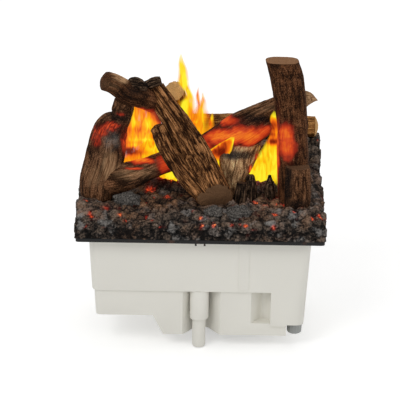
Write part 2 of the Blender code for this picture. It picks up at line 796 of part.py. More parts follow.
def make_tub():
    """The moulded sump: outer form and its bosses, hollowed by the inner form, then drilled."""
    made = sump_form("tub", 0.0, RIM_Z - FIT - FLANGE_T / 2, False)
    join(
        made, flange_solid(), front_rib(),
        rod("tub_spigot", (CAP_X, CAP_Y, SPIGOT_TIP_Z), UP, SPIGOT_R, SPIGOT_L + WALL / 2, cutter=True),
    )
    cut(made, sump_form("tub_inside", WALL, RIM_Z + OVERRUN, True))
    cut(
        made,
        rod("drain_hole", (SPOUT_X, SLEEVE_Y, LEDGE_Z - OVERRUN), UP, SPOUT_BORE_R, WALL + 2 * OVERRUN,
            cutter=True),
        rod("spigot_bore", (CAP_X, CAP_Y, SPIGOT_TIP_Z - OVERRUN), UP, SPIGOT_BORE_R,
            SPIGOT_L + WALL + 2 * OVERRUN, cutter=True),
        inlet_form("inlet_hole", FIT, OVERRUN, cutter=True),
    )
    for slot in range(VENT_SLOTS):
        x = VENT_X + (slot - (VENT_SLOTS - 1) / 2) * VENT_PITCH
        cut(made, box(
            f"vent_{slot}", (x - VENT_W / 2, TUB_D / 2 - WALL - 2 * OVERRUN, RIM_Z - VENT_DROP - VENT_H / 2),
            (x + VENT_W / 2, TUB_D / 2 + OVERRUN, RIM_Z - VENT_DROP + VENT_H / 2), cutter=True,
        ))
    return made


# Tank cradle

def tank_shelf(name, y):
    """A leg of the cradle: it stands on both floors, carries the tank and holds up the wall."""
    left, right = PARTITION_X - PARTITION_T / 2, TANK_X + TANK_W / 2
    step = BASE_RIGHT - WALL - FIT
    low, high, top = BASE_FLOOR_Z + FIT, TANK_WELL_FLOOR_Z + FIT, TANK_Z - FIT
    riser = left + TANK_SHELF_T
    wall_z = PARTITION_FOOT_Z + PARTITION_T
    outline = (
        (left, low), (step, low), (step, high), (right, high), (right, top), (riser, top), (riser, wall_z),
        (left, wall_z),
    )
    sides = (y - TANK_SHELF_T / 2, y + TANK_SHELF_T / 2)
    return loft(name, [[(x, side, z) for x, z in outline] for side in sides], cutter=True)


def make_cradle():
    """The wall between the deck and the tank, its two legs, and the post that opens the valve."""
    loops = []
    for z in (PARTITION_FOOT_Z, RIM_Z - PARTITION_DROP):
        half = TUB_D / 2 - WALL - FIT - drawn_in(z)
        loops.append([
            (PARTITION_X + side * PARTITION_T / 2, y, z)
            for side, y in ((-1, -half), (1, -half), (1, half), (-1, half))
        ])
    made = loft("tank_cradle", loops, WHITE_PLASTIC)
    leg_y = TANK_D / 2 - SHELF_SETBACK
    foot = TANK_WELL_FLOOR_Z + FIT
    join(
        made, tank_shelf("cradle_leg_1", -leg_y), tank_shelf("cradle_leg_2", leg_y),
        box("cradle_strip", (TANK_X - STRIP_W / 2, -leg_y, foot),
            (TANK_X + STRIP_W / 2, leg_y, foot + STRIP_T), cutter=True),
        rod("cradle_post", (TANK_X, NECK_Y, foot + STRIP_T / 2), UP, VALVE_R + FIT,
            TANK_CAP_Z - VALVE_TIP - FIT - foot - STRIP_T / 2, cutter=True, sides=16),
    )
    return made


# Power inlet in the rear wall

INLET_Z = RIM_Z - INLET_DROP
INLET_FACE_Y = TUB_D / 2 - drawn_in(INLET_Z + INLET_H / 2 + INLET_FLANGE)


def inlet_form(name, grow, extra, finish=None, cutter=False):
    """The inlet's body behind its flange, grown all round for the hole it sits in."""
    half_w, half_h = INLET_W / 2 + grow, INLET_H / 2 + grow
    return box(
        name, (INLET_X - half_w, INLET_FACE_Y - INLET_L, INLET_Z - half_h),
        (INLET_X + half_w, INLET_FACE_Y + FIT + INLET_FLANGE_T / 2 + extra, INLET_Z + half_h), finish, cutter,
    )


def make_inlet():
    made = inlet_form("power_inlet", 0.0, 0.0, BLACK_PLASTIC)
    back = INLET_FACE_Y + FIT
    flange = box(
        "inlet_flange", (INLET_X - INLET_W / 2 - INLET_FLANGE, back, INLET_Z - INLET_H / 2 - INLET_FLANGE),
        (INLET_X + INLET_W / 2 + INLET_FLANGE, back + INLET_FLANGE_T, INLET_Z + INLET_H / 2 + INLET_FLANGE),
        cutter=True,
    )
    half_w, half_h = INLET_W / 2 - INLET_WALL, INLET_H / 2 - INLET_WALL
    recess = box(
        "inlet_recess", (INLET_X - half_w, back + INLET_FLANGE_T - INLET_RECESS, INLET_Z - half_h),
        (INLET_X + half_w, back + INLET_FLANGE_T + OVERRUN, INLET_Z + half_h), cutter=True,
    )
    join(made, flange)
    return cut(made, recess)


# Black steel frame

def make_frame():
    """Ring with a shallow pressed seat for the flange, upturned lip and two hooks bent down in front."""
    top = RIM_Z + SHEET
    seat_grow = FLANGE_W + SEAT_MARGIN
    made = slab(
        "support_frame", FRAME_HALF_W, FRAME_HALF_D, RIM_Z, RIM_Z + LIP_H, FRAME_CORNER_R, BLACK_STEEL,
    )
    cut(
        made,
        slab("frame_tray", FRAME_HALF_W - SHEET, FRAME_HALF_D - SHEET, top, RIM_Z + LIP_H + OVERRUN,
             FRAME_CORNER_R - SHEET, cutter=True),
        slab("frame_opening", TUB_W / 2 - WALL, TUB_D / 2 - WALL, RIM_Z - OVERRUN, top + OVERRUN,
             TUB_CORNER_R - WALL, cutter=True),
        slab("frame_seat", TUB_W / 2 + seat_grow, TUB_D / 2 + seat_grow, RIM_Z - OVERRUN, RIM_Z + SEAT_DEPTH,
             TUB_CORNER_R + seat_grow, cutter=True),
    )
    hook_y = -(TUB_D / 2 + FLANGE_W + SHEET)
    for side in (-1, 1):
        x = side * HOOK_PITCH / 2
        join(made, box(
            f"frame_hook_{side}", (x - HOOK_W / 2, hook_y - SHEET, RIM_Z - HOOK_L),
            (x + HOOK_W / 2, hook_y, RIM_Z + SHEET / 2), cutter=True,
        ))
    for x, y in SCREWS:
        cut(made, rod(f"frame_hole_{x}_{y}", (x, y, RIM_Z - OVERRUN), UP, SCREW_R + SCREW_PLAY,
                      2 * OVERRUN, cutter=True, sides=12))
    return made


SCREW_Y = TUB_D / 2 + FLANGE_W / 2
SCREWS = [(side * SCREW_X_SHARE * TUB_W, front * SCREW_Y) for side in (-1, 1) for front in (-1, 1)]


def make_screws():
    """The screws that hang the sump's flange on the frame, and their holes in the flange."""
    for number, (x, y) in enumerate(SCREWS, 1):
        head = rod(f"frame_screw_{number}", (x, y, RIM_Z + SHEET + FIT), UP, SCREW_HEAD_R, SCREW_HEAD_H,
                   STEEL, sides=12, tip=SCREW_HEAD_R * math.cos(math.pi / 4))
        shank = rod(f"screw_shank_{number}", (x, y, RIM_Z + SHEET + FIT - SCREW_L), UP, SCREW_R,
                    SCREW_L + SCREW_HEAD_H / 2, cutter=True, sides=8)
        join(head, shank)
        cut(tub, rod(f"flange_hole_{number}", (x, y, RIM_Z - SCREW_L - FIT), UP, SCREW_R + FIT,
                     SCREW_L + OVERRUN, cutter=True, sides=8))


# Drain spout and screw cap

def make_spout():
    """One stepped tube, hung under the ledge: a wide sleeve above a narrow tail with a rounded end."""
    top = LEDGE_Z - FIT
    tip, edge = SPOUT_TIP_R, SLEEVE_EDGE_R
    profile = [
        (SLEEVE_R, top), (SLEEVE_R, SLEEVE_FOOT_Z + edge),
        (SLEEVE_R - edge * ARC_SHARE, SLEEVE_FOOT_Z + edge * ARC_SHARE), (SLEEVE_R - edge, SLEEVE_FOOT_Z),
        (SPOUT_R, SLEEVE_FOOT_Z), (SPOUT_R, tip), (SPOUT_R - tip * ARC_SHARE, tip * ARC_SHARE),
        (SPOUT_R - tip, 0), (SPOUT_BORE_R, 0), (SPOUT_BORE_R, top),
    ]
    return turned("drain_spout", profile, (SPOUT_X, SLEEVE_Y, 0), WHITE_PLASTIC)


def ribbed_cap(name, centre, top_r, bottom_r, height, wall, ribs, rib_depth, finish):
    """A screw cap, open at the top, with grip ribs that follow a cosine round it."""
    count = ribs * 3
    bm_loops = []
    for share, radius in ((0, bottom_r - wall / 2), (wall / 2 / height, bottom_r), (1, top_r)):
        bm_loops.append([
            (centre[0] + r * math.cos(a), centre[1] + r * math.sin(a), centre[2] + share * height)
            for a in (2 * math.pi * step / count for step in range(count))
            for r in [radius - rib_depth * (0.5 - 0.5 * math.cos(ribs * a))]
        ])
    made = loft(name, bm_loops, finish, smooth=SMOOTH)
    bore = min(top_r, bottom_r) - rib_depth - wall
    return cut(made, rod(f"{name}_inside", (centre[0], centre[1], centre[2] + wall), UP, bore,
                         height - wall + OVERRUN, cutter=True)), bore


def make_drain_cap():
    """The ribbed cap closes the tank well's spigot, onto a flat seal."""
    cap_z = SPIGOT_TIP_Z - FIT - CAP_SEAL_T - FIT - CAP_WALL
    cap, bore = ribbed_cap(
        "drain_cap", (CAP_X, CAP_Y, cap_z), CAP_TOP_R, CAP_BOTTOM_R, TANK_FLOOR_Z - FIT - cap_z, CAP_WALL,
        CAP_RIBS, CAP_RIB_DEPTH, GREY_PLASTIC,
    )
    rod("drain_cap_seal", (CAP_X, CAP_Y, cap_z + CAP_WALL + FIT), UP, bore - FIT, CAP_SEAL_T, RUBBER)
    return cap


# Deck over the electrics

POT_TOP_Z = DECK_Z - DECK_GAP
DECK_HALF_D = TUB_D / 2 - WALL - drawn_in(DECK_Z) - DECK_GAP
DECK_LEFT = -(TUB_W / 2 - WALL - drawn_in(DECK_Z) - DECK_GAP)
MOUTH_Z = DECK_TOP + NOZZLE_H


def make_deck():
    """The cover over the electrics on four legs, cut out for the nozzle, the switch and the knob."""
    middle = (DECK_LEFT + DECK_RIGHT) / 2
    made = slab(
        "engine_deck", (DECK_RIGHT - DECK_LEFT) / 2, DECK_HALF_D, DECK_Z, DECK_TOP, TUB_CORNER_R - WALL,
        BLACK_PLASTIC, centre=(middle, 0),
    )
    half_w, half_l = SWITCH_W / 2 + FIT, SWITCH_L / 2 + FIT
    cut(
        made,
        rod("deck_pot_hole", (POT_X, POT_Y, DECK_Z - OVERRUN), UP, POT_R - POT_WALL, 3 * OVERRUN, cutter=True,
            sides=NOZZLE_SIDES),
        rod("deck_knob_hole", (KNOB_X, CONTROLS_Y, DECK_Z - OVERRUN), UP, KNOB_SHAFT_R + FIT, 3 * OVERRUN,
            cutter=True),
        box("deck_switch_hole", (SWITCH_X - half_w, CONTROLS_Y - half_l, DECK_Z - OVERRUN),
            (SWITCH_X + half_w, CONTROLS_Y + half_l, DECK_TOP + OVERRUN), cutter=True),
    )
    for number, (x, y, floor) in enumerate(DECK_LEGS):
        foot = floor + FIT
        height = DECK_Z + DECK_T / 2 - foot
        join(made, rod(f"deck_leg_{number}", (x, y, foot), UP, POST_R, height, cutter=True, sides=10))
    return made


# Mist pot, port, nozzle and nebuliser

FAN_Z = DECK_Z - FAN_DROP
PORT_TIP_X = POT_X - POT_R - PORT_L


def make_pot():
    """The round chamber that the mist rises in: open below for water, with a side port for the fan."""
    foot = BASE_FLOOR_Z + FIT
    made = rod("mist_pot", (POT_X, POT_Y, foot), UP, POT_R, POT_TOP_Z - foot, GREY_PLASTIC, sides=32)
    collar_r = POT_R + NOZZLE_FLANGE_W
    collar = slab(
        "pot_collar", collar_r, collar_r, POT_TOP_Z - POT_WALL, DECK_Z - FIT, POT_R, cutter=True,
        centre=(POT_X, POT_Y),
    )
    port = rod("pot_port", (POT_X, POT_Y, FAN_Z), (-1, 0, 0), FAN_SIZE / 2, POT_X - PORT_TIP_X, cutter=True)
    join(made, port, collar)
    cut(
        made,
        rod("pot_inside", (POT_X, POT_Y, foot - OVERRUN), UP, POT_R - POT_WALL, RIM_Z, cutter=True,
            sides=32),
        rod("pot_port_bore", (POT_X, POT_Y, FAN_Z), (-1, 0, 0), FAN_BORE_R, POT_R + PORT_L + OVERRUN,
            cutter=True),
    )
    for side, axis in enumerate(((1, 0, 0), (0, 1, 0))):
        half = [POT_R + OVERRUN if axis[k] else POT_FOOT_W / 2 for k in (0, 1)]
        cut(made, box(f"pot_feet_{side}", (POT_X - half[0], POT_Y - half[1], foot - OVERRUN),
                      (POT_X + half[0], POT_Y + half[1], foot + POT_FOOT_H), cutter=True))
    return made


def nozzle_ring(z, share, inset):
    """One section of the nozzle: a circle at share 0 that flattens to the long mouth at share 1."""
    ring = []
    power = 1 - 0.55 * share
    for step in range(NOZZLE_SIDES):
        a = 2 * math.pi * step / NOZZLE_SIDES
        c, s = math.cos(a), math.sin(a)
        half_w = (1 - share) * POT_R + share * NOZZLE_MOUTH_W / 2 - inset
        half_d = (1 - share) * POT_R + share * NOZZLE_MOUTH_D / 2 - inset
        x = math.copysign(abs(c) ** power, c) * half_w
        y = math.copysign(abs(s) ** power, s) * half_d
        centre_x = POT_X + share * (OUTLET_X - POT_X)
        centre_y = POT_Y + share * (OUTLET_Y - POT_Y)
        ring.append((centre_x + x, centre_y + y, z))
    return ring


def nozzle_shape(name, inset, z_over, finish=None, cutter=False):
    levels = 4
    foot = DECK_TOP + FIT
    loops = [nozzle_ring(foot - z_over, 0, inset)] if z_over else []
    for step in range(levels + 1):
        t = step / levels
        loops.append(nozzle_ring(foot + t * (MOUTH_Z - foot), 0.5 - 0.5 * math.cos(math.pi * t), inset))
    if z_over:
        loops.append(nozzle_ring(MOUTH_Z + z_over, 1, inset))
    return loft(name, loops, finish, cutter, SMOOTH)


def make_nozzle():
    """The duct that spreads the mist from the round pot to a long flat mouth."""
    made = nozzle_shape("mist_nozzle", 0.0, 0.0, BLACK_PLASTIC)
    flange = rod("nozzle_flange", (POT_X, POT_Y, DECK_TOP + FIT), UP, POT_R + NOZZLE_FLANGE_W,
                 NOZZLE_FLANGE_T, cutter=True, sides=32)
    join(made, flange)
    return cut(made, nozzle_shape("nozzle_inside", POT_WALL, OVERRUN, cutter=True))


def make_nebuliser():
    """The ultrasonic head that stands in the water, with its disc on a seal."""
    foot = BASE_FLOOR_Z + FIT
    top = foot + NEB_H
    body = turned("nebuliser_body", [
        (NEB_R - NEB_CUP_DEPTH / 4, top), (NEB_R, top - NEB_CUP_DEPTH / 4), (NEB_R, foot), (0, foot),
        (0, top - NEB_CUP_DEPTH), (NEB_CUP_R, top - NEB_CUP_DEPTH), (NEB_CUP_R, top),
    ], (POT_X, POT_Y, 0), GREY_PLASTIC)
    seal_z = top - NEB_CUP_DEPTH + FIT
    hole_r = DISC_R - 2 * DISC_T
    turned("nebuliser_seal", [
        (SEAL_R, seal_z + SEAL_T), (SEAL_R, seal_z), (hole_r, seal_z), (hole_r, seal_z + SEAL_T),
    ], (POT_X, POT_Y, 0), RUBBER)
    rod("nebuliser_disc", (POT_X, POT_Y, seal_z + SEAL_T + FIT), UP, DISC_R, DISC_T, STEEL)
    return body


# Fan and filter

FAN_X = PORT_TIP_X - FIT - FAN_T


def make_fan_frame():
    """A square frame with a round tunnel and three struts that hold the motor boss and its shaft."""
    half = FAN_SIZE / 2
    made = box("fan_frame", (FAN_X, POT_Y - half, FAN_Z - half), (FAN_X + FAN_T, POT_Y + half, FAN_Z + half),
               BLACK_PLASTIC)
    cut(made, rod("fan_tunnel", (FAN_X - OVERRUN, POT_Y, FAN_Z), (1, 0, 0), FAN_BORE_R, FAN_T + 2 * OVERRUN,
                  cutter=True, sides=28))
    for number in range(STRUTS):
        turn = Matrix.Rotation(2 * math.pi * number / STRUTS, 4, "X")
        end = (STRUT_T, STRUT_W / 2, FAN_BORE_R + STRUT_T)
        strut = box(f"fan_strut_{number}", (0, -STRUT_W / 2, 0), end, cutter=True)
        strut.matrix_world = Matrix.Translation((FAN_X, POT_Y, FAN_Z)) @ turn
        join(made, strut)
    boss = rod("fan_boss", (FAN_X, POT_Y, FAN_Z), (1, 0, 0), HUB_R, STRUT_T + FIT, cutter=True)
    shaft = rod("fan_shaft", (FAN_X + STRUT_T / 2, POT_Y, FAN_Z), (1, 0, 0), FAN_SHAFT_R,
                STRUT_T / 2 + FIT + HUB_T / 2, cutter=True, sides=16)
    return join(made, boss, shaft)


def blade(name, angle):
    """One blade: a thin section that turns and widens from hub to tip."""
    loops = []
    root, tip = HUB_R * 0.8, FAN_BORE_R - FAN_TIP_GAP
    chord_root, chord_tip = HUB_T * 1.05, HUB_T * 1.35
    for step in range(4):
        t = step / 3
        radius = root + t * (tip - root)
        chord = chord_root + t * (chord_tip - chord_root)
        pitch = BLADE_PITCH + BLADE_TWIST * (1 - t)
        section = []
        for along, across in ((-0.5, 0), (-0.25, -0.4), (0.25, -0.4), (0.5, 0), (0.25, 0.6), (-0.25, 0.6)):
            bow = BLADE_T * (1 - (2 * along) ** 2)
            s, n = along * chord, across * BLADE_T + bow
            section.append(Vector((s * math.sin(pitch) + n * math.cos(pitch),
                                   s * math.cos(pitch) - n * math.sin(pitch), radius)))
        loops.append(section)
    made = loft(name, loops, cutter=True)
    middle = Matrix.Translation((FAN_X + STRUT_T + 2 * FIT + HUB_T / 2, POT_Y, FAN_Z))
    made.matrix_world = middle @ Matrix.Rotation(angle, 4, "X")
    return made


def make_impeller():
    """Hub with a domed nose, a bore for the shaft and twisted blades."""
    foot = STRUT_T + 2 * FIT
    made = turned("fan_impeller", [
        (0, foot + HUB_T), (HUB_R * 0.6, foot + HUB_T), (HUB_R, foot + HUB_T * 0.7), (HUB_R, foot),
        (FAN_SHAFT_R + FIT, foot), (FAN_SHAFT_R + FIT, foot + HUB_T / 2), (0, foot + HUB_T / 2),
    ], (FAN_X, POT_Y, FAN_Z), BLACK_PLASTIC, axis=(1, 0, 0))
    for number in range(BLADES):
        join(made, blade(f"fan_blade_{number}", 2 * math.pi * number / BLADES))
    return made


def make_air_filter():
    """A foam pad in front of the fan, held against its frame."""
    half = FAN_SIZE / 2
    return box("air_filter", (FAN_X - FIT - AIR_FILTER_T, POT_Y - half, FAN_Z - half),
               (FAN_X - FIT, POT_Y + half, FAN_Z + half), FOAM, edge=AIR_FILTER_T / 5)


# Level float on its stem

def make_float():
    """A hollow ring that rides up its stem between the base and the head."""
    foot = BASE_FLOOR_Z + FIT
    top = foot + STEM_H
    step = foot + STEM_BASE_T
    turned("float_stem", [
        (STEM_HEAD_R, top), (STEM_HEAD_R, top - STEM_HEAD_T), (STEM_R, top - STEM_HEAD_T), (STEM_R, step),
        (STEM_BASE_R, step), (STEM_BASE_R, foot), (0, foot), (0, top),
    ], (FLOAT_X, FLOAT_Y, 0), GREY_PLASTIC, sides=14)
    low = step + FIT
    bore = STEM_R + FLOAT_PLAY
    ring = turned("level_float", [
        (FLOAT_R, low + FLOAT_H), (FLOAT_R, low), (bore, low), (bore, low + FLOAT_H),
    ], (FLOAT_X, FLOAT_Y, 0), CLEAR_PLASTIC, sides=18)
    return carry("float_body", (FLOAT_X, FLOAT_Y, low), ring)


# Lamps on their rail, behind a coloured glass

RAIL_Y = POT_Y - POT_R - NOZZLE_FLANGE_W - LAMP_GAP - RAIL_D / 2
RAIL_Z = DECK_TOP + FIT


def make_lamps():
    """Capsule lamps in ceramic sockets on one rail, with the amber glass standing beside them."""
    rail = box("lamp_rail", (OUTLET_X - RAIL_W / 2, RAIL_Y - RAIL_D / 2, RAIL_Z),
               (OUTLET_X + RAIL_W / 2, RAIL_Y + RAIL_D / 2, RAIL_Z + RAIL_H), CERAMIC)
    for number in range(LAMP_COUNT):
        x = OUTLET_X + (number - (LAMP_COUNT - 1) / 2) * LAMP_PITCH
        socket_top = RAIL_Z + RAIL_H + SOCKET_H
        half = SOCKET_W / 2
        join(rail, box(f"lamp_socket_{number}", (x - half, RAIL_Y - half + FIT, RAIL_Z + RAIL_H / 2),
                       (x + half, RAIL_Y + half - FIT, socket_top), cutter=True))
        cut(rail, rod(f"lamp_hole_{number}", (x, RAIL_Y, socket_top - LAMP_PIN_L - FIT), UP, LAMP_PIN_R + FIT,
                      LAMP_PIN_L + OVERRUN, cutter=True, sides=16))
        foot = socket_top + FIT
        top = foot + LAMP_H
        turned(f"lamp_{number + 1}", [
            (0, top), (LAMP_R / 2, top - LAMP_R / 8), (LAMP_R, top - LAMP_R), (LAMP_R, foot + LAMP_R / 2),
            (LAMP_R * 0.7, foot), (LAMP_PIN_R, foot), (LAMP_PIN_R, foot - LAMP_PIN_L), (0, foot - LAMP_PIN_L),
        ], (x, RAIL_Y, 0), CLEAR_PLASTIC, sides=12)
    glass_y = RAIL_Y - GLASS_SETBACK
    glass_z = DECK_TOP + FIT
    pane = box("colour_filter", (OUTLET_X - GLASS_W / 2, glass_y - GLASS_T / 2, glass_z),
               (OUTLET_X + GLASS_W / 2, glass_y + GLASS_T / 2, glass_z + GLASS_H), AMBER)
    foot = box("filter_foot", (OUTLET_X - GLASS_W / 2, glass_y - 2 * GLASS_T, glass_z),
               (OUTLET_X + GLASS_W / 2, glass_y + GLASS_T / 4, glass_z + GLASS_T), cutter=True)
    return join(pane, foot)


# Electronics

def make_board():
    """The control board with its relays, screwed down on four stand-offs."""
    z = LEFT_WELL_FLOOR_Z + BOARD_RISE
    low = Vector((BOARD_X - BOARD_W / 2, BOARD_Y - BOARD_D / 2, z))
    made = box("control_board", low, low + Vector((BOARD_W, BOARD_D, BOARD_T)), CIRCUIT)
    for number, share in enumerate((-1, 0, 1)):
        y = BOARD_Y + share * RELAY_PITCH * 1.4
        join(made, box(f"relay_{number}", (BOARD_X - RELAY_W / 2, y - RELAY_D / 2, z + BOARD_T / 2),
                       (BOARD_X + RELAY_W / 2, y + RELAY_D / 2, z + BOARD_T + RELAY_H), cutter=True))
    for x in (BOARD_X - BOARD_W / 2 + STANDOFF_INSET, BOARD_X + BOARD_W / 2 - STANDOFF_INSET):
        for y in (BOARD_Y - BOARD_D / 2 + STANDOFF_INSET, BOARD_Y + BOARD_D / 2 - STANDOFF_INSET):
            foot = LEFT_WELL_FLOOR_Z + FIT
            height = z + BOARD_T / 2 - foot
            join(made, rod(f"standoff_{x}_{y}", (x, y, foot), UP, STANDOFF_R, height, cutter=True, sides=8))
    return made


def make_transformer():
    """A laminated core with a winding round its middle limb."""
    z = LEFT_WELL_FLOOR_Z + FIT
    made = box("transformer", (BOARD_X - CORE_W / 2, TRANSFORMER_Y - CORE_D / 2, z),
               (BOARD_X + CORE_W / 2, TRANSFORMER_Y + CORE_D / 2, z + CORE_H), STEEL)
    half_w, half_d = CORE_W / 2 - CORE_LIMB_W, CORE_D / 2 + COIL_GROW
    coil = box(
        "transformer_coil", (BOARD_X - half_w, TRANSFORMER_Y - half_d, z + CORE_LIMB_W),
        (BOARD_X + half_w, TRANSFORMER_Y + half_d, z + CORE_H - CORE_LIMB_W), cutter=True, edge=COIL_GROW / 3,
    )
    return join(made, coil)


def lead(name, start, start_way, end, end_way, middle, rise):
    """A round lead that leaves and meets its pieces square, with a short straight run at each end."""
    start, end = Vector(start), Vector(end)
    bend = [start + Vector(start_way) * rise, *middle, end + Vector(end_way) * rise]
    return wire(name, [start, *smooth_line(bend, 4), end], LEAD_R, RUBBER)


def make_leads():
    """The leads from the inlet to the transformer and from the board to the nebuliser."""
    rise = 2 * LEAD_R
    loop = 6 * LEAD_R
    core_top = LEFT_WELL_FLOOR_Z + FIT + CORE_H + FIT
    inlet_y = INLET_FACE_Y - INLET_L - FIT
    lead(
        "power_lead", (INLET_X, inlet_y, INLET_Z), (0, -1, 0),
        (INLET_X, TRANSFORMER_Y, core_top), (0, 0, 1),
        [(INLET_X, TRANSFORMER_Y + loop / 2, (INLET_Z + core_top) / 2 + rise)], rise,
    )
    board_top = LEFT_WELL_FLOOR_Z + BOARD_RISE + BOARD_T + FIT
    edge_x = BOARD_X + BOARD_W / 2 - STANDOFF_INSET
    floor_z = BASE_FLOOR_Z + LEAD_R + FIT
    run = POT_X - NEB_R - BASE_LEFT_BOTTOM
    lead(
        "nebuliser_lead", (edge_x, BOARD_Y + BOARD_D / 2 - 2 * STANDOFF_INSET, board_top), (0, 0, 1),
        (POT_X - NEB_R - FIT, POT_Y, floor_z), (-1, 0, 0),
        [
            (edge_x + loop, POT_Y, board_top + loop / 2),
            (BASE_LEFT_BOTTOM + run * LEAD_BEND_SHARE, POT_Y, (board_top + floor_z) / 2),
            (BASE_LEFT_BOTTOM + run * 0.32, POT_Y, floor_z + loop / 3),
            (BASE_LEFT_BOTTOM + run * 0.63, POT_Y, floor_z),
        ], rise,
    )


# Controls on the deck

def make_switch():
    """A rocker in a framed housing, resting tilted to one side."""
    half_w, half_l = SWITCH_W / 2, SWITCH_L / 2
    rocker_w, rocker_l = half_w - BEZEL_W / 2, half_l - BEZEL_W / 2
    bezel = box("switch_housing", (SWITCH_X - half_w, CONTROLS_Y - half_l, DECK_TOP - SWITCH_BODY_H),
                (SWITCH_X + half_w, CONTROLS_Y + half_l, DECK_TOP + FIT + BEZEL_T), BLACK_PLASTIC)
    out_w, out_l = half_w + BEZEL_W, half_l + BEZEL_W
    join(bezel, box("switch_bezel", (SWITCH_X - out_w, CONTROLS_Y - out_l, DECK_TOP + FIT),
                    (SWITCH_X + out_w, CONTROLS_Y + out_l, DECK_TOP + FIT + BEZEL_T), cutter=True))
    cut(bezel, box("switch_well", (SWITCH_X - rocker_w, CONTROLS_Y - rocker_l, DECK_TOP - ROCKER_H - BEZEL_T),
                   (SWITCH_X + rocker_w, CONTROLS_Y + rocker_l, DECK_TOP + 2 * OVERRUN), cutter=True))
    pivot = DECK_TOP
    reach = rocker_l - ROCKER_PLAY
    rise = ROCKER_H / 2
    flat = reach * math.tan(ROCKER_TILT)
    outline = ((-reach, rise + flat), (0, rise), (reach, rise + flat), (reach * 0.7, -rise * 0.5), (0, -rise),
               (-reach * 0.7, -rise * 0.5))
    sides = (SWITCH_X - rocker_w + FIT, SWITCH_X + rocker_w - FIT)
    loops = [[(side, CONTROLS_Y + y, pivot + z) for y, z in outline] for side in sides]
    rocker = loft("rocker_switch", loops, RUBBER)
    tilt = Matrix.Translation((SWITCH_X, CONTROLS_Y, pivot))
    rocker.matrix_world = tilt @ Matrix.Rotation(ROCKER_TILT, 4, "X") @ tilt.inverted()
    return carry("rocker_body", (SWITCH_X, CONTROLS_Y, pivot), rocker)


def make_knob():
    """A fluted knob on the shaft of its potentiometer, for the mist rate."""
    knob_z = DECK_TOP + KNOB_GAP
    body_top = DECK_Z - FIT
    shaft_top = knob_z + KNOB_BORE_L
    half = KNOB_BODY_W / 2
    body = box("knob_potentiometer", (KNOB_X - half, CONTROLS_Y - half, body_top - KNOB_BODY_H),
               (KNOB_X + half, CONTROLS_Y + half, body_top), GREY_PLASTIC)
    join(body, rod("knob_shaft", (KNOB_X, CONTROLS_Y, body_top - KNOB_BODY_H / 2), UP, KNOB_SHAFT_R,
                   shaft_top - FIT - body_top + KNOB_BODY_H / 2, cutter=True))
    knob = rod("mist_knob", (KNOB_X, CONTROLS_Y, knob_z), UP, KNOB_R, KNOB_H, BLACK_PLASTIC, sides=36,
               tip=KNOB_R * 0.92)
    for number in range(KNOB_FLUTES):
        angle = 2 * math.pi * number / KNOB_FLUTES
        spot = (KNOB_X + KNOB_R * math.cos(angle), CONTROLS_Y + KNOB_R * math.sin(angle), knob_z + KNOB_H / 5)
        cut(knob, rod(f"knob_flute_{number}", spot, UP, KNOB_FLUTE_R, KNOB_H, cutter=True, sides=10))
    cut(knob, rod("knob_bore", (KNOB_X, CONTROLS_Y, knob_z - OVERRUN), UP, KNOB_SHAFT_R + FIT,
                  KNOB_BORE_L + OVERRUN, cutter=True))
    return carry("knob_body", (KNOB_X, CONTROLS_Y, knob_z), knob)


# Water tank

TANK_TOP = TANK_Z + TANK_H
NECK_TIP_Z = TANK_CAP_Z + TANK_CAP_WALL + FIT + TANK_CAP_SEAL_T + FIT
PIVOT = Vector((TANK_X + HANDLE_PIVOT_X, 0, TANK_TOP + EAR_RISE + HANDLE_WIRE_R))


def make_tank():
    """The tank with its neck below and two ears for the handle above."""
    half_w, half_d = TANK_W / 2, TANK_D / 2
    made = slab("water_tank", half_w, half_d, TANK_Z, TANK_TOP, TANK_CORNER_R, CLEAR_PLASTIC,
                centre=(TANK_X, 0))
    join(made, rod("tank_neck", (TANK_X, NECK_Y, NECK_TIP_Z), UP, NECK_R, TANK_Z - NECK_TIP_Z + TANK_WALL / 2,
                   cutter=True))
    for side in (-1, 1):
        y = side * (HANDLE_SPAN / 2 - HANDLE_WIRE_R - FIT - EAR_T / 2)
        ear = rod(f"tank_ear_{side}", (PIVOT.x, y - EAR_T / 2, PIVOT.z), (0, 1, 0), EAR_R, EAR_T, cutter=True)
        web = box(f"tank_web_{side}", (PIVOT.x - EAR_R, y - EAR_T / 2 + FIT / 2, TANK_TOP - TANK_WALL / 2),
                  (PIVOT.x + EAR_R, y + EAR_T / 2 - FIT / 2, PIVOT.z), cutter=True)
        join(made, web, ear)
        cut(made, rod(f"tank_ear_hole_{side}", (PIVOT.x, y - EAR_T, PIVOT.z), (0, 1, 0),
                      HANDLE_WIRE_R + HANDLE_PLAY, 2 * EAR_T, cutter=True, sides=20))
    cut(
        made,
        slab("tank_inside", half_w - TANK_WALL, half_d - TANK_WALL, TANK_Z + TANK_WALL, TANK_TOP - TANK_WALL,
             TANK_CORNER_R - TANK_WALL, cutter=True, centre=(TANK_X, 0)),
        rod("tank_neck_bore", (TANK_X, NECK_Y, NECK_TIP_Z - OVERRUN), UP, NECK_BORE_R,
            TANK_Z - NECK_TIP_Z + TANK_WALL + 2 * OVERRUN, cutter=True),
    )
    return made


def make_handle():
    """A wire bail that lies flat on the tank and folds up round its two ends."""
    half = HANDLE_SPAN / 2
    bend = 2 * HANDLE_WIRE_R
    inner = half - HANDLE_WIRE_R - EAR_T - 2 * FIT
    far = PIVOT.x + HANDLE_REACH
    near = [(PIVOT.x, -inner), (PIVOT.x, -half + bend / 2), (PIVOT.x + bend / 2, -half), (far - bend, -half)]
    near += [(far - bend / 3, -half + bend / 3), (far, -half + bend)]
    line = [(x, y, PIVOT.z) for x, y in near] + [(x, -y, PIVOT.z) for x, y in reversed(near)]
    return carry("handle_body", PIVOT, wire("tank_handle", line, HANDLE_WIRE_R, BLACK_PLASTIC, 3))


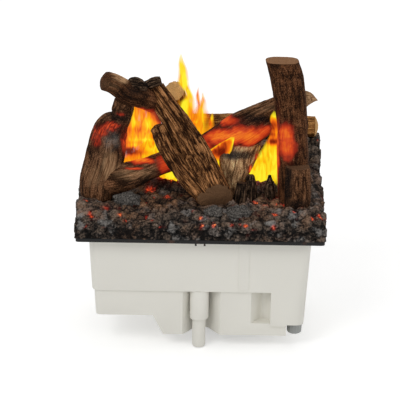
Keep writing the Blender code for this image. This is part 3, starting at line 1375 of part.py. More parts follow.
def make_tank_cap():
    """The ribbed cap with a guide bridge inside, holes for the water and a sprung valve pin."""
    centre = (TANK_X, NECK_Y, TANK_CAP_Z)
    cap, bore = ribbed_cap(
        "tank_cap", centre, TANK_CAP_R, TANK_CAP_R, TANK_CAP_H - FIT, TANK_CAP_WALL, TANK_CAP_RIBS,
        TANK_CAP_RIB_DEPTH, BLACK_PLASTIC,
    )
    floor_z = TANK_CAP_Z + TANK_CAP_WALL
    head_z = floor_z + FIT
    spring_z = head_z + VALVE_HEAD_T + FIT
    spring_l = VALVE_TRAVEL + (SPRING_TURNS + 1) * 2 * SPRING_WIRE_R
    bridge_z = spring_z + spring_l + FIT
    leg = VALVE_HEAD_R + 4 * VALVE_PLAY
    leg_w = TANK_CAP_WALL
    join(cap, box("cap_bridge", (TANK_X - leg - leg_w, NECK_Y - leg_w, floor_z - TANK_CAP_WALL / 2),
                  (TANK_X + leg + leg_w, NECK_Y + leg_w, bridge_z + leg_w), cutter=True))
    cut(
        cap,
        box("cap_bridge_gap", (TANK_X - leg, NECK_Y - 2 * leg_w, floor_z),
            (TANK_X + leg, NECK_Y + 2 * leg_w, bridge_z), cutter=True),
        rod("cap_pin_hole", (TANK_X, NECK_Y, TANK_CAP_Z - OVERRUN), UP, VALVE_R + VALVE_PLAY,
            bridge_z + leg_w - TANK_CAP_Z + 2 * OVERRUN, cutter=True, sides=20),
    )
    turned("tank_cap_seal", [
        (NECK_R, floor_z + FIT + TANK_CAP_SEAL_T), (NECK_R, floor_z + FIT), (NECK_BORE_R, floor_z + FIT),
        (NECK_BORE_R, floor_z + FIT + TANK_CAP_SEAL_T),
    ], (TANK_X, NECK_Y, 0), RUBBER)
    pin_top, pin_tip = bridge_z + leg_w / 2, TANK_CAP_Z - VALVE_TIP
    head_top = head_z + VALVE_HEAD_T
    pin = turned("valve_pin", [
        (VALVE_R, pin_top), (VALVE_R, head_top), (VALVE_HEAD_R, head_top), (VALVE_HEAD_R, head_z),
        (VALVE_R, head_z), (VALVE_R, pin_tip), (0, pin_tip), (0, pin_top),
    ], (TANK_X, NECK_Y, 0), GREY_PLASTIC, sides=12)
    points = 8 * SPRING_TURNS
    pitch = (spring_l - 2 * SPRING_WIRE_R) / SPRING_TURNS
    helix = []
    for step in range(points + 1):
        a = 2 * math.pi * step / 8
        radius = SPRING_R - SPRING_WIRE_R
        helix.append((TANK_X + radius * math.cos(a), NECK_Y + radius * math.sin(a),
                      spring_z + SPRING_WIRE_R + pitch * step / 8))
    wire("valve_spring", helix, SPRING_WIRE_R, STEEL, 1)
    return cap, pin


# Ember bed: one hollow moulding with lumps on top

BED_FOOT_Z = RIM_Z + SHEET + FIT
BED_STEP_Z = RIM_Z + LIP_H + FIT


def smooth_step(t):
    """0 below 0, 1 above 1, and 3t^2 - 2t^3 between."""
    t = np.clip(t, 0, 1)
    return t * t * (3 - 2 * t)


def bed_rise(x, y):
    """The smooth height above the rim: a profile from front to back, less the fall behind the trunk."""
    depths, heights = np.array(BED_RISE_SHARES).T
    share = np.clip(y / BED_D + 0.5, 0, 1)
    span = np.clip(np.searchsorted(depths, share) - 1, 0, len(depths) - 2)
    t = smooth_step((share - depths[span]) / (depths[span + 1] - depths[span]))
    (from_x, from_y), (to_x, to_y) = FALL_FROM_SHARES, FALL_TO_SHARES
    fall = smooth_step((x / BED_W - from_x) / (to_x - from_x))
    fall *= smooth_step((y / BED_D - from_y) / (to_y - from_y))
    return BED_H * (heights[span] + (heights[span + 1] - heights[span]) * t - FALL_SHARE * fall)


def scatter(cell, seed):
    """A random number from -1 to 1 for each whole-number point: its parts times primes, mixed by shifts."""
    x, y, z = np.moveaxis(cell.astype(np.int64), -1, 0)
    mixed = (x * 73856093) ^ (y * 19349663) ^ (z * 83492791) ^ (seed * 2654435)
    mixed = ((mixed ^ (mixed >> 13)) * 1274126177) & 0x7FFFFFFF
    mixed = ((mixed ^ (mixed >> 15)) * 2246822519) & 0x7FFFFFFF
    return mixed / 0x3FFFFFFF - 1.0


def lattice(points, seed):
    """Smooth noise from -1 to 1: random values at whole-number points, blended between them."""
    cell = np.floor(points)
    t = smooth_step(points - cell)
    total = np.zeros(points.shape[:-1])
    for corner in np.ndindex(2, 2, 2):
        total += np.prod(np.where(corner, t, 1 - t), axis=-1) * scatter(cell + corner, seed)
    return total


def lumps(points, seed=5):
    """Heaped coals, from -1 to 1: domes about points scattered one to a cell, with cracks between them."""
    warp = LUMP_WARP_SHARE * np.stack([lattice(points / LUMP_WARP_SIZE, seed + k) for k in (11, 12, 13)], -1)
    points = points / LUMP_SIZE + warp
    near, second = np.full(points.shape[:-1], 9.0), np.full(points.shape[:-1], 9.0)
    mark = np.zeros(points.shape[:-1])
    for offset in np.ndindex(3, 3, 3):
        cell = np.floor(points) + offset - 1
        middle = cell + 0.5 + 0.42 * np.stack([scatter(cell, seed + k) for k in (1, 2, 3)], -1)
        far = np.linalg.norm(middle - points, axis=-1)
        second = np.minimum(second, np.maximum(far, near))
        mark = np.where(far < near, scatter(cell, seed + 4), mark)
        near = np.minimum(near, far)
    return 1.25 * np.clip((second - near) / 0.55, 0, 1) ** 0.6 * (0.75 + 0.25 * mark) - 0.72


def heap(name, inset, drop, step, foot, relief, cutter=False):
    """A closed block under the heaped surface, drawn in by inset and lowered by drop."""
    half = np.array((BED_W / 2 - inset, BED_D / 2 - inset))
    columns, rows = (int(count) for count in np.ceil(2 * half / step))
    x, y = np.meshgrid(np.linspace(-half[0], half[0], columns + 1), np.linspace(-half[1], half[1], rows + 1))
    top = np.stack([x, y, bed_rise(x, y) - drop], -1)
    around = [(0, i) for i in range(columns)] + [(j, columns) for j in range(rows)]
    around += [(rows, columns - i) for i in range(columns)] + [(rows - j, 0) for j in range(rows)]
    edge = np.array([top[place] for place in around])
    middle = edge.copy()
    middle[:, 2] = (edge[:, 2] + BED_STEP_Z - RIM_Z) / 2
    if relief:
        height = relief * lumps(top)
        top[..., 2] += height
        for place, point in zip(around, middle):
            inwards = -np.sign(point[:2]) * np.isclose(np.abs(point[:2]), half)
            point[:2] += inwards * max(relief / 2 - height[place] / 2, 0.0)
    bm = bmesh.new()
    base = Vector((0, 0, RIM_Z))
    grid = [[bm.verts.new(Vector(point) + base) for point in line] for line in top]
    for low, high in zip(grid, grid[1:]):
        for i in range(columns):
            bm.faces.new((low[i], low[i + 1], high[i + 1], high[i]))
    rings = [[grid[j][i] for j, i in around]]
    rings.append([bm.verts.new(Vector(point) + base) for point in middle])
    rings.append([bm.verts.new((x, y, foot)) for x, y, _ in edge])
    for upper, lower in zip(rings, rings[1:]):
        for i in range(len(around)):
            j = (i + 1) % len(around)
            bm.faces.new((lower[i], lower[j], upper[j], upper[i]))
    bm.faces.new(rings[-1])
    return mesh_object(name, bm, COAL, None, cutter)


def make_bed():
    """The bed's shell: lumpy outside, smooth cavity, stepped foot that drops inside the frame's lip."""
    made = heap("ember_bed", 0.0, 0.0, BED_STEP, BED_FOOT_Z, LUMP_H)
    cavity = heap("bed_cavity", BED_SKIRT_T, BED_ROOF_T, CAVITY_STEP, BED_FOOT_Z - OVERRUN, 0.0, cutter=True)
    rebate = slab("bed_rebate", BED_W, BED_D, BED_FOOT_Z - OVERRUN, BED_STEP_Z, BED_OVERHANG, cutter=True)
    keep = SHEET + FIT
    cut(rebate, slab("bed_foot", FRAME_HALF_W - keep, FRAME_HALF_D - keep, BED_FOOT_Z - 2 * OVERRUN,
                     BED_STEP_Z + OVERRUN, FRAME_CORNER_R - SHEET, cutter=True))
    outlet = slab("bed_outlet", OUTLET_W / 2, OUTLET_D / 2, RIM_Z, RIM_Z + BED_H + OVERRUN, OUTLET_R,
                  cutter=True, centre=(OUTLET_X, OUTLET_Y))
    return cut(made, cavity, rebate, outlet, solver="MANIFOLD")


# Logs, charred stubs and loose coals

def place(shares):
    return Vector((shares[0] * BED_W, shares[1] * BED_D, RIM_Z + shares[2] * PILE_H))


def sawn(rings, centres, facing, reach):
    """Slides the rings near the last one along the log, so that its end face looks the facing way."""
    way = (centres[-1] - centres[-2]).normalized()
    facing = Vector(facing).normalized()
    for ring, centre in zip(rings, centres):
        near = max(0.0, 1 - (centres[-1] - centre).length / reach)
        for point in ring:
            point -= way * (near * (point - centre).dot(facing) / way.dot(facing))


def log_rings(shares, half_width, seed, sawn_foot, sawn_top, grow):
    """Rings along a smooth path whose half widths follow the shares, with ridges worked out from the seed."""
    spans = len(shares) - 1
    per_span = max(1, round(LOG_RINGS / spans))
    line = smooth_line([place(point) for point in shares], per_span)
    widths = smooth_line([(across, front, 0) for *_, across, front in shares], per_span)
    ways = [(b - a).normalized() for a, b in zip(line, line[1:])]
    line[0] -= ways[0] * grow
    line[-1] += ways[-1] * grow
    rings = []
    for index, (centre, (across, front, _)) in enumerate(zip(line, widths)):
        way = (ways[max(index - 1, 0)] + ways[min(index, len(ways) - 1)]).normalized()
        to_front = (Vector((0, -1, 0)) + way * way.y).normalized()
        to_side = way.cross(to_front)
        ring = []
        for step in range(LOG_SIDES):
            a = 2 * math.pi * step / LOG_SIDES
            swell = 1 + LOG_ROUGHNESS * math.sin(2 * a + seed) * math.cos(seed)
            swell += LOG_GRAIN * math.sin(5 * a + 2 * index / len(line) + 3 * seed)
            side, ahead = (half_width * share * swell + grow for share in (across, front))
            ring.append(centre + to_side * (side * math.cos(a)) + to_front * (ahead * math.sin(a)))
        rings.append(ring)
    if sawn_foot:
        sawn(rings[::-1], line[::-1], sawn_foot, 4 * half_width)
    if sawn_top:
        sawn(rings, line, sawn_top, 4 * half_width)
    return rings


# Each log: its path, half width, seed, the way its sawn foot and its sawn top look, and its material
LOGS = {
    "log_diagonal": (DIAGONAL_SHARES, DIAGONAL_R, 1.0, (0.30, -0.80, -0.35), None, BARK),
    "log_upright": (UPRIGHT_SHARES, UPRIGHT_R, 2.1, None, UP, BARK),
    "log_right_stub": (STUB_SHARES, STUB_R, 3.2, None, UP, BARK),
    "log_left_trunk": (TRUNK_SHARES, TRUNK_R, 4.4, None, None, BARK),
    "log_left_branch": (BRANCH_SHARES, BRANCH_R, 5.1, None, None, CUT_WOOD),
    "log_front_limb": (LIMB_SHARES, LIMB_R, 6.3, None, None, BARK),
    "log_sloping": (SLOPING_SHARES, SLOPING_R, 7.2, None, None, BARK),
    "log_prop": (PROP_SHARES, PROP_R, 8.4, None, None, BARK),
    "log_back": (BACK_SHARES, BACK_R, 9.3, None, None, CUT_WOOD),
    "log_back_leaning": (LEANING_SHARES, LEANING_R, 10.2, (-0.1, -0.75, 0.6), None, CUT_WOOD),
    "bark_chip_left": (LEFT_CHIP_SHARES, LEFT_CHIP_R, 11.5, None, None, CHARRED),
    "bark_chip_right": (RIGHT_CHIP_SHARES, RIGHT_CHIP_R, 12.6, None, None, CHARRED),
    "charred_stub_left": (CHAR_1_SHARES, CHAR_1_R, 13.1, None, None, CHARRED),
    "charred_stub_right": (CHAR_2_SHARES, CHAR_2_R, 14.8, None, None, CHARRED),
    "charred_spike": (SPIKE_SHARES, SPIKE_R, 15.5, None, None, CHARRED),
}
# The second strand of bark beside the long diagonal log, which is one piece with it
DIAGONAL_STRAND = (STRAND_SHARES, STRAND_R, 16.2, (0.30, -0.80, -0.35), None)

# What each piece is cut by, so that the pile's members lie against one another
SEATS = {
    "log_right_stub": ("log_upright",),
    "charred_stub_left": ("log_prop",),
    "ember_bed": (
        "log_diagonal", "log_upright", "log_right_stub", "log_left_trunk", "log_prop", "log_back",
        "log_back_leaning", "charred_stub_left", "charred_stub_right", "charred_spike",
    ),
    "log_left_branch": ("log_diagonal",),
    "log_left_trunk": ("log_left_branch",),
    "log_front_limb": ("log_left_trunk", "log_diagonal"),
    "log_sloping": ("log_diagonal", "log_upright"),
    "log_prop": ("log_sloping", "log_diagonal"),
    "log_back_leaning": ("log_back",),
    "bark_chip_left": ("log_left_branch", "log_diagonal"),
    "bark_chip_right": ("log_diagonal", "log_left_branch", "bark_chip_left"),
    "charred_stub_right": ("charred_stub_left", "log_prop"),
}


def make_logs(bed):
    pieces = {"ember_bed": bed}
    for name, (*form, finish) in LOGS.items():
        pieces[name] = loft(name, log_rings(*form, 0.0), finish, smooth=SMOOTH)
    join(pieces["log_diagonal"], loft("diagonal_strand", log_rings(*DIAGONAL_STRAND, 0.0), cutter=True))
    grown = {}
    for seat in sorted({seat for seats in SEATS.values() for seat in seats}):
        grown[seat] = [loft(f"{seat}_seat", log_rings(*LOGS[seat][:-1], FIT), cutter=True)]
    grown["log_diagonal"].append(loft("diagonal_strand_seat", log_rings(*DIAGONAL_STRAND, FIT), cutter=True))
    for name, seats in SEATS.items():
        for seat in seats:
            cut(pieces[name], *grown[seat], solver="MANIFOLD")
    for number, shares in enumerate(COAL_SHARES, 1):
        centre, size = place(shares), shares[-1] * COAL_R
        pieces[f"coal_{number}"] = coal(f"coal_{number}", centre, size, 0.0)
        cut(bed, coal(f"coal_{number}_seat", centre, size, FIT, cutter=True), solver="MANIFOLD")
    return pieces


def coal(name, centre, size, grow, cutter=False):
    """A knobbly lump, wider than it is tall."""
    bm = bmesh.new()
    bmesh.ops.create_icosphere(bm, subdivisions=2, radius=1.0)
    for vert in bm.verts:
        reach = 1 + 0.25 * noise.noise(vert.co * 1.7 + centre / COAL_R)
        half = Vector((1.3, 1.0, 0.8)) * (size * reach) + Vector((grow, grow, grow))
        vert.co = centre + Vector(vert.co[k] * half[k] for k in range(3))
    return mesh_object(name, bm, COAL, None, cutter)


tub = make_tub()
make_cradle()
make_inlet()
make_frame()
make_screws()
make_spout()
drain_cap = make_drain_cap()
make_deck()
make_pot()
make_nozzle()
make_nebuliser()
make_fan_frame()
impeller = make_impeller()
make_air_filter()
make_float()
make_lamps()
make_board()
make_transformer()
make_leads()
make_switch()
make_knob()
water_tank = make_tank()
handle = make_handle()
tank_cap, valve_pin = make_tank_cap()
pile = make_logs(make_bed())
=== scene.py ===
"""Looks of an electric fireplace insert: a white sump, a black steel frame and a glowing bed of logs."""

import math

import bmesh
import bpy
import numpy as np
from mathutils import Matrix, Vector


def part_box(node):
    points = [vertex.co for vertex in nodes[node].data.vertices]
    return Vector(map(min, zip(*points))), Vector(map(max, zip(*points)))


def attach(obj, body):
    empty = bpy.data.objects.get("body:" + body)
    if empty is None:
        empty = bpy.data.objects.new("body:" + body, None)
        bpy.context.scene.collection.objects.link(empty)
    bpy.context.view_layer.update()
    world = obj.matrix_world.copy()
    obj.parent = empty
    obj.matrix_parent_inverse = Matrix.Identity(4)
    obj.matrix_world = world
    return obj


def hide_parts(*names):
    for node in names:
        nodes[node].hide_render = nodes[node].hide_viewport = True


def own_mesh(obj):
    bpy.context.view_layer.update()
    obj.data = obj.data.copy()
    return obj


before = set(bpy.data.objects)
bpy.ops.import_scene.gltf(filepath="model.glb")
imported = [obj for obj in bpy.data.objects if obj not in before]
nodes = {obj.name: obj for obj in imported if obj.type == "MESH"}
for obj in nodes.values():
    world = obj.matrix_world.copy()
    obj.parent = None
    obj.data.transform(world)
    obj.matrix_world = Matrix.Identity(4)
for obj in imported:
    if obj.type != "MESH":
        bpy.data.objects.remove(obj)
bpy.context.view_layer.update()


# The view
# The photograph was taken from far off, 20 degrees above the rim, with the camera turned a
# little about its own axis, so the rim drops to the right.

VIEW_FROM = (-0.0015, -2.9397, 1.288)
VIEW_DOWN = math.radians(20)
VIEW_TURN = math.radians(0.95)
LENS, SENSOR, VIEW_REACH = 168.75, 36.0, 50.0

lens = bpy.data.cameras.new("view")
lens.sensor_width, lens.lens, lens.clip_end = SENSOR, LENS, VIEW_REACH
camera = bpy.data.objects.new("view", lens)
camera.matrix_world = (
    Matrix.Translation(VIEW_FROM)
    @ Matrix.Rotation(math.pi / 2 - VIEW_DOWN, 4, "X")
    @ Matrix.Rotation(VIEW_TURN, 4, "Z")
)
bpy.context.scene.collection.objects.link(camera)
bpy.context.scene.camera = camera
bpy.context.scene.view_settings.view_transform = "Standard"


# Studio
# A soft lamp stands above and in front, to the left, and weaker ones to the right and behind,
# under a white sky. The floor is pale and shows white to the camera, but keeps the shadow.

SKY = 0.64
FLOOR_SIZE, FLOOR_LEVEL, FLOOR_GLOW = 9.0, -0.001, 0.4
LAMP_AIM = Vector((0, 0, 0.25))
SQUARE = ((-1, -1), (1, -1), (1, 1), (-1, 1))


class Wire:
    """A shader socket: arithmetic on it adds Math nodes, and node() adds any other node beside it."""

    def __init__(self, tree, socket=None):
        self.tree, self.socket = tree, socket

    def node(self, kind, inputs, out=0, stops=None, **settings):
        """Adds a node, makes its settings, then gives its sockets their numbers, colours or wires."""
        made = self.tree.nodes.new("ShaderNode" + kind)
        for name, value in settings.items():
            setattr(made, name, value)
        for index, (place, colour) in enumerate(stops or ()):
            stop = made.color_ramp.elements[index] if index < 2 else made.color_ramp.elements.new(place)
            stop.position, stop.color = place, (*colour, 1.0)
        for key, value in inputs.items():
            if isinstance(value, Wire):
                self.tree.links.new(value.socket, made.inputs[key])
            else:
                made.inputs[key].default_value = value
        return Wire(self.tree, made.outputs[out])

    def math(self, operation, *terms):
        return self.node("Math", dict(enumerate(terms)), operation=operation)

    def __add__(self, other):
        return self.math("ADD", self, other)

    def __radd__(self, other):
        return self.math("ADD", other, self)

    def __sub__(self, other):
        return self.math("SUBTRACT", self, other)

    def __rsub__(self, other):
        return self.math("SUBTRACT", other, self)

    def __mul__(self, other):
        return self.math("MULTIPLY", self, other)

    def __rmul__(self, other):
        return self.math("MULTIPLY", other, self)

    def __abs__(self):
        return self.math("ABSOLUTE", self)

    def least(self, other):
        return self.math("MINIMUM", self, other)

    def drawn(self, x, y, z):
        """A place whose parts are multiplied by x, y and z, so that noise on it is drawn out."""
        return self.node("VectorMath", {0: self, 1: (x, y, z)}, operation="MULTIPLY")

    def held(self, name, out="Fac"):
        """The value that the mesh stores under this name."""
        return self.node("Attribute", {}, out=out, attribute_name=name)


def noise(place, scale, detail=3.0, rough=0.55):
    """Cloudy noise from 0 to 1, with scale ripples to the metre."""
    return place.node("TexNoise", {"Vector": place, "Scale": scale, "Detail": detail, "Roughness": rough})


def rgb(red, green, blue):
    """A colour as a shader's sockets take it."""
    return (red, green, blue, 1.0)


def blend(share, first, second):
    """The first colour where share is 0, the second where it is 1. Each is three numbers or a wire."""
    first, second = (part if isinstance(part, Wire) else rgb(*part) for part in (first, second))
    return share.node("Mix", {0: share, 6: first, 7: second}, out=2, data_type="RGBA")


def finish(name, **fixed):
    """A new material with these plain settings, its shader, and the place on the object that it colours."""
    made = bpy.data.materials.new(name)
    made.use_nodes = True
    shader = made.node_tree.nodes["Principled BSDF"]
    for key, value in fixed.items():
        shader.inputs[key.replace("_", " ")].default_value = value
    start = Wire(made.node_tree)
    return made, shader, start.node("TexCoord", {}, out="Object")


def wired(shader, **inputs):
    """Joins wires to the shader's sockets."""
    for key, wire in inputs.items():
        wire.tree.links.new(wire.socket, shader.inputs[key.replace("_", " ")])


world = bpy.data.worlds.new("sky")
world.use_nodes = True
bpy.context.scene.world = world
path = world.node_tree.nodes.new("ShaderNodeLightPath")
seen = sum(
    (Wire(world.node_tree, path.outputs[ray]) for ray in ("Is Glossy Ray", "Is Transmission Ray")),
    Wire(world.node_tree, path.outputs["Is Camera Ray"]),
)
backdrop = world.node_tree.nodes["Background"]
backdrop.inputs["Color"].default_value = rgb(1.0, 1.0, 1.0)
world.node_tree.links.new((seen.least(1.0) * (1 - SKY) + SKY).socket, backdrop.inputs["Strength"])

for name, place, size, power in (
    ("key", (-1.3, -2.1, 2.3), 1.3, 23.0),
    ("fill", (1.9, -1.7, 1.3), 1.6, 6.0),
    ("back", (0.6, 2.4, 1.9), 1.6, 6.5),
):
    lamp = bpy.data.lights.new(name, "AREA")
    lamp.size, lamp.energy = size, power
    stand = bpy.data.objects.new(name, lamp)
    stand.location = place
    stand.rotation_euler = (LAMP_AIM - Vector(place)).to_track_quat("-Z", "Y").to_euler()
    bpy.context.scene.collection.objects.link(stand)


def settle(name, mesh, body, material):
    """A smooth-shaded object of this mesh with its finish, riding on a body if one is named."""
    mesh.polygons.foreach_set("use_smooth", np.full(len(mesh.polygons), True))
    mesh.materials.clear()
    mesh.materials.append(material)
    piece = bpy.data.objects.new(name, mesh)
    bpy.context.scene.collection.objects.link(piece)
    if body:
        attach(piece, body)
    return piece


def mesh_piece(name, points, faces, body, material, slot):
    """A piece made of an array of points and the faces between them."""
    mesh = bpy.data.meshes.new(name)
    mesh.from_pydata(points.tolist(), [], faces if isinstance(faces, list) else faces.tolist())
    mesh.update()
    return settle(name, mesh, body, material)


pale, pale_shader, place = finish("pale floor", Roughness=0.9)
mottle = noise(place, 3.0)
wired(pale_shader, Base_Color=blend(mottle, (0.8, 0.8, 0.8), (0.84, 0.84, 0.83)))
tree = pale.node_tree
lit = tree.nodes.new("ShaderNodeEmission")
lit.inputs["Strength"].default_value = FLOOR_GLOW
both = tree.nodes.new("ShaderNodeAddShader")
tree.links.new(pale_shader.outputs[0], both.inputs[0])
tree.links.new(lit.outputs[0], both.inputs[1])
route = tree.nodes.new("ShaderNodeLightPath")
pick = tree.nodes.new("ShaderNodeMixShader")
shown = Wire(tree, route.outputs["Is Camera Ray"])
shown = shown.math("MAXIMUM", shown, Wire(tree, route.outputs["Is Glossy Ray"]))
tree.links.new(shown.socket, pick.inputs[0])
tree.links.new(pale_shader.outputs[0], pick.inputs[1])
tree.links.new(both.outputs[0], pick.inputs[2])
tree.links.new(pick.outputs[0], tree.nodes["Material Output"].inputs["Surface"])
half = FLOOR_SIZE / 2
corners = np.array([(x * half, y * half, FLOOR_LEVEL) for x, y in SQUARE])
mesh_piece("floor", corners, [(0, 1, 2, 3)], None, pale, None)


# White sump and drain tube
# The sump is moulded in warm white plastic with rounded edges and a fine matt grain. The
# drain tube under its ledge and the cradle inside are of the same plastic.

EDGE_ANGLE, FLAT_ANGLE, MERGE = math.radians(32), math.radians(0.4), 1e-6


def step(value, low, high):
    """0 below low, 1 above high, and a smooth curve between."""
    return value.node(
        "MapRange", {"Value": value, "From Min": low, "From Max": high}, interpolation_type="SMOOTHSTEP",
    )


def relief(height, depth):
    """A bump from heights of 0 to 1 that are depth metres deep."""
    return height.node("Bump", {"Height": height, "Distance": depth, "Strength": 1.0})


def softened(node, material, width, steps):
    """A copy of one of the housing's solids with edges rounded to this width, standing for the node."""
    bm = bmesh.new()
    bm.from_mesh(nodes[node].data)
    bmesh.ops.remove_doubles(bm, verts=bm.verts, dist=MERGE)
    bmesh.ops.dissolve_limit(bm, angle_limit=FLAT_ANGLE, verts=bm.verts, edges=bm.edges)
    mesh = bpy.data.meshes.new(f"{node}_soft")
    bm.to_mesh(mesh)
    bm.free()
    piece = settle(f"{node}_soft", mesh, "housing", material)
    edge = piece.modifiers.new("edges", "BEVEL")
    edge.limit_method, edge.angle_limit = "ANGLE", EDGE_ANGLE
    edge.width, edge.segments, edge.harden_normals = width, steps, True
    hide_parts(node)


def dress(material, *names):
    """Gives CAD nodes that keep their shape their finish."""
    for name in names:
        for held in nodes[name].material_slots:
            held.material = material


def plastic(name, colour, rough, grain=1900.0, depth=0.00004, shade=0.93, **fixed):
    """Moulded plastic: a faint drift of colour and gloss, and a fine matt grain."""
    made, shader, place = finish(name, **fixed)
    drift = noise(place, 9.0, 2.0)
    fine = noise(place, grain, 2.0)
    dark = [part * shade for part in colour]
    wired(
        shader, Base_Color=blend(step(drift, 0.3, 0.7), dark, colour),
        Roughness=fine * 0.12 + (rough - 0.06), Normal=relief(fine, depth),
    )
    return made


white = plastic("warm white plastic", (0.8, 0.782, 0.715), 0.42, shade=0.985)
softened("tub", white, width=0.0012, steps=3)
softened("drain_spout", white, width=0.0008, steps=3)
softened("tank_cradle", white, width=0.0003, steps=1)


# Drain cap
# A ribbed grey screw cap with a flat rubber seal closes the drain bore under the tank's well.
# Both are moulded, and the cap turns on its thread.

grey_plastic = plastic("smooth grey plastic", (0.3, 0.31, 0.3), 0.38, depth=0.00002)
rubber = plastic("black rubber", (0.022, 0.022, 0.022), 0.72, 900.0, 0.00006, Specular_IOR_Level=0.3)
dress(grey_plastic, "drain_cap")
dress(rubber, "drain_cap_seal")


# Black steel frame
# A pressed ring of sheet steel with an upturned lip, powder-coated black. A coppery line of
# reflection, seen along the lip where the bed meets it, is painted in streaks over the black.
# Four steel screws hold it to the sump.

steel_black, shader, place = finish("black powder coat", Specular_IOR_Level=0.28)
speck = noise(place, 1400.0, 2.0)
# Coppery streaks of painted reflection over the black coat.
painted_reflection = noise(place.drawn(1.0, 1.0, 0.2), 46.0, 4.0, 0.7)
wired(
    shader, Base_Color=blend(step(painted_reflection, 0.56, 0.7), (0.003, 0.0028, 0.0026), (0.05, 0.022, 0.012)),
    Roughness=speck * 0.2 + 0.25, Normal=relief(speck, 0.00005),
)
softened("support_frame", steel_black, width=0.0004, steps=2)


def metal(name, colour, rough, along=(1.0, 1.0, 0.1), scale=900.0):
    """Bare metal with fine lines drawn along one direction."""
    made, shader, place = finish(name, Metallic=1.0)
    lines = noise(place.drawn(*along), scale, 3.0)
    wired(
        shader, Base_Color=blend(lines, [part * 0.75 for part in colour], colour),
        Roughness=lines * 0.2 + (rough - 0.1), Normal=relief(lines, 0.00003),
    )
    return made


steel = metal("drawn steel", (0.56, 0.55, 0.53), 0.34)
dress(steel, "frame_screw_1", "frame_screw_2", "frame_screw_3", "frame_screw_4")


# Mist engine
# Inside the sump a black deck carries the grey mist pot with its disc, the black nozzle that
# leads the mist up, and a float that stops the disc when the water is low.

black_plastic = plastic("satin black plastic", (0.022, 0.022, 0.023), 0.4, depth=0.00003)
bright_disc = metal("polished disc", (0.66, 0.65, 0.62), 0.2, (1.0, 0.1, 1.0), 1500.0)
float_white = plastic("foamed white float", (0.7, 0.69, 0.64), 0.55, 1200.0, 0.00008)
dress(black_plastic, "engine_deck", "mist_nozzle")
dress(grey_plastic, "mist_pot", "nebuliser_body", "float_stem")
dress(rubber, "nebuliser_seal")
dress(bright_disc, "nebuliser_disc")
dress(float_white, "level_float")


# Fan and air filter
# A small black fan blows the mist out of the pot. It draws its air through a pad of grey
# open-cell foam, and its glossy impeller is moulded in one piece.

foam, shader, place = finish("open foam", Roughness=0.95, Specular_IOR_Level=0.15)
pore = place.node("TexVoronoi", {"Vector": place, "Scale": 950.0})
# The pores are painted dark, as shade inside them.
hole = step(pore, 0.15, 0.55)
wired(
    shader, Base_Color=blend(hole, (0.008, 0.008, 0.009), (0.075, 0.075, 0.078)),
    Normal=relief(hole, 0.0006),
)
impeller_black = plastic("glossy black plastic", (0.018, 0.018, 0.02), 0.24, depth=0.00001)
dress(black_plastic, "fan_frame")
dress(impeller_black, "fan_impeller")
dress(foam, "air_filter")


# Lamps and colour filter
# Three halogen lamps stand on a glazed ceramic rail and light the mist from below, through
# a pane of amber glass.

ceramic = plastic("glazed ceramic", (0.66, 0.62, 0.54), 0.3, 700.0, 0.00003, shade=0.88)
lamp_glass, shader, place = finish(
    "lit lamp glass", Roughness=0.12, Emission_Strength=1.0, Transmission_Weight=0.2,
)
filament = step(noise(place.drawn(1.0, 1.0, 0.3), 260.0, 2.0), 0.35, 0.65)
wired(
    shader, Base_Color=blend(filament, (0.85, 0.62, 0.3), (0.95, 0.8, 0.5)),
    Emission_Color=blend(filament, (0.8, 0.32, 0.05), (1.0, 0.72, 0.25)),
)
amber, shader, place = finish("amber glass", Roughness=0.06, Transmission_Weight=0.75, IOR=1.5)
cloud = noise(place, 24.0, 3.0)
wired(shader, Base_Color=blend(cloud, (1.0, 0.3, 0.03), (1.0, 0.46, 0.09)))
dress(ceramic, "lamp_rail")
dress(lamp_glass, "lamp_1", "lamp_2", "lamp_3")
dress(amber, "colour_filter")


# Electrics
# A green board and a laminated transformer sit beside the pot, joined by black leads to the
# mains inlet, the rocker switch and the knob that sets the mist.

board_green, shader, place = finish("solder mask", Roughness=0.35)
track = abs(noise(place.drawn(1.0, 0.35, 1.0), 210.0, 1.0) - 0.5)
dust = noise(place, 700.0, 3.0)
lacquer = blend(step(track, 0.02, 0.035), (0.05, 0.2, 0.07), (0.012, 0.075, 0.03))
wired(
    shader, Base_Color=blend(step(dust, 0.55, 0.75), lacquer, (0.09, 0.16, 0.09)),
    Normal=relief(track, 0.0001),
)
laminated = metal("laminated steel", (0.3, 0.28, 0.26), 0.5, (0.04, 0.04, 1.0), 1500.0)
dress(board_green, "control_board")
dress(laminated, "transformer")
dress(rubber, "power_lead", "nebuliser_lead")
dress(black_plastic, "power_inlet", "switch_housing")
dress(impeller_black, "rocker_switch", "mist_knob")
dress(grey_plastic, "knob_potentiometer")


# Water tank
# A clear moulded tank stands upside down in its cradle, with a folding black handle and a
# black cap. A steel spring, which shortens as the cap's grey pin is pushed in, shuts the valve.

SPRING_WIRE_R, SPRING_TURNS, SPRING_TRAVEL = 0.0005, 4, 0.004

clear, shader, place = finish("clear plastic", Transmission_Weight=0.82, IOR=1.46)
flow = noise(place, 16.0, 3.0)
wired(
    shader, Base_Color=blend(flow, (0.8, 0.88, 0.91), (0.9, 0.94, 0.95)),
    Roughness=flow * 0.1 + 0.07, Normal=relief(flow, 0.0006),
)
dress(clear, "water_tank")
dress(black_plastic, "tank_handle", "tank_cap")
dress(rubber, "tank_cap_seal")
dress(grey_plastic, "valve_pin")


def grid_faces(rows, count, wrap_rows=False):
    """Quads between neighbouring rows of a closed ring of count points."""
    row = np.arange(rows if wrap_rows else rows - 1)[:, None]
    col = np.arange(count)[None, :]
    nxt, side = (row + 1) % rows, (col + 1) % count
    quads = [row * count + col, row * count + side, nxt * count + side, nxt * count + col]
    return np.stack(quads, -1).reshape(-1, 4)


def unit(vectors):
    """Vectors of the same direction and length 1."""
    return vectors / np.maximum(np.linalg.norm(vectors, axis=-1, keepdims=True), 1e-12)


def joined(*parts):
    """Arrays or numbers of any matching shapes as the parts of one array of points."""
    return np.stack(np.broadcast_arrays(*parts), -1)


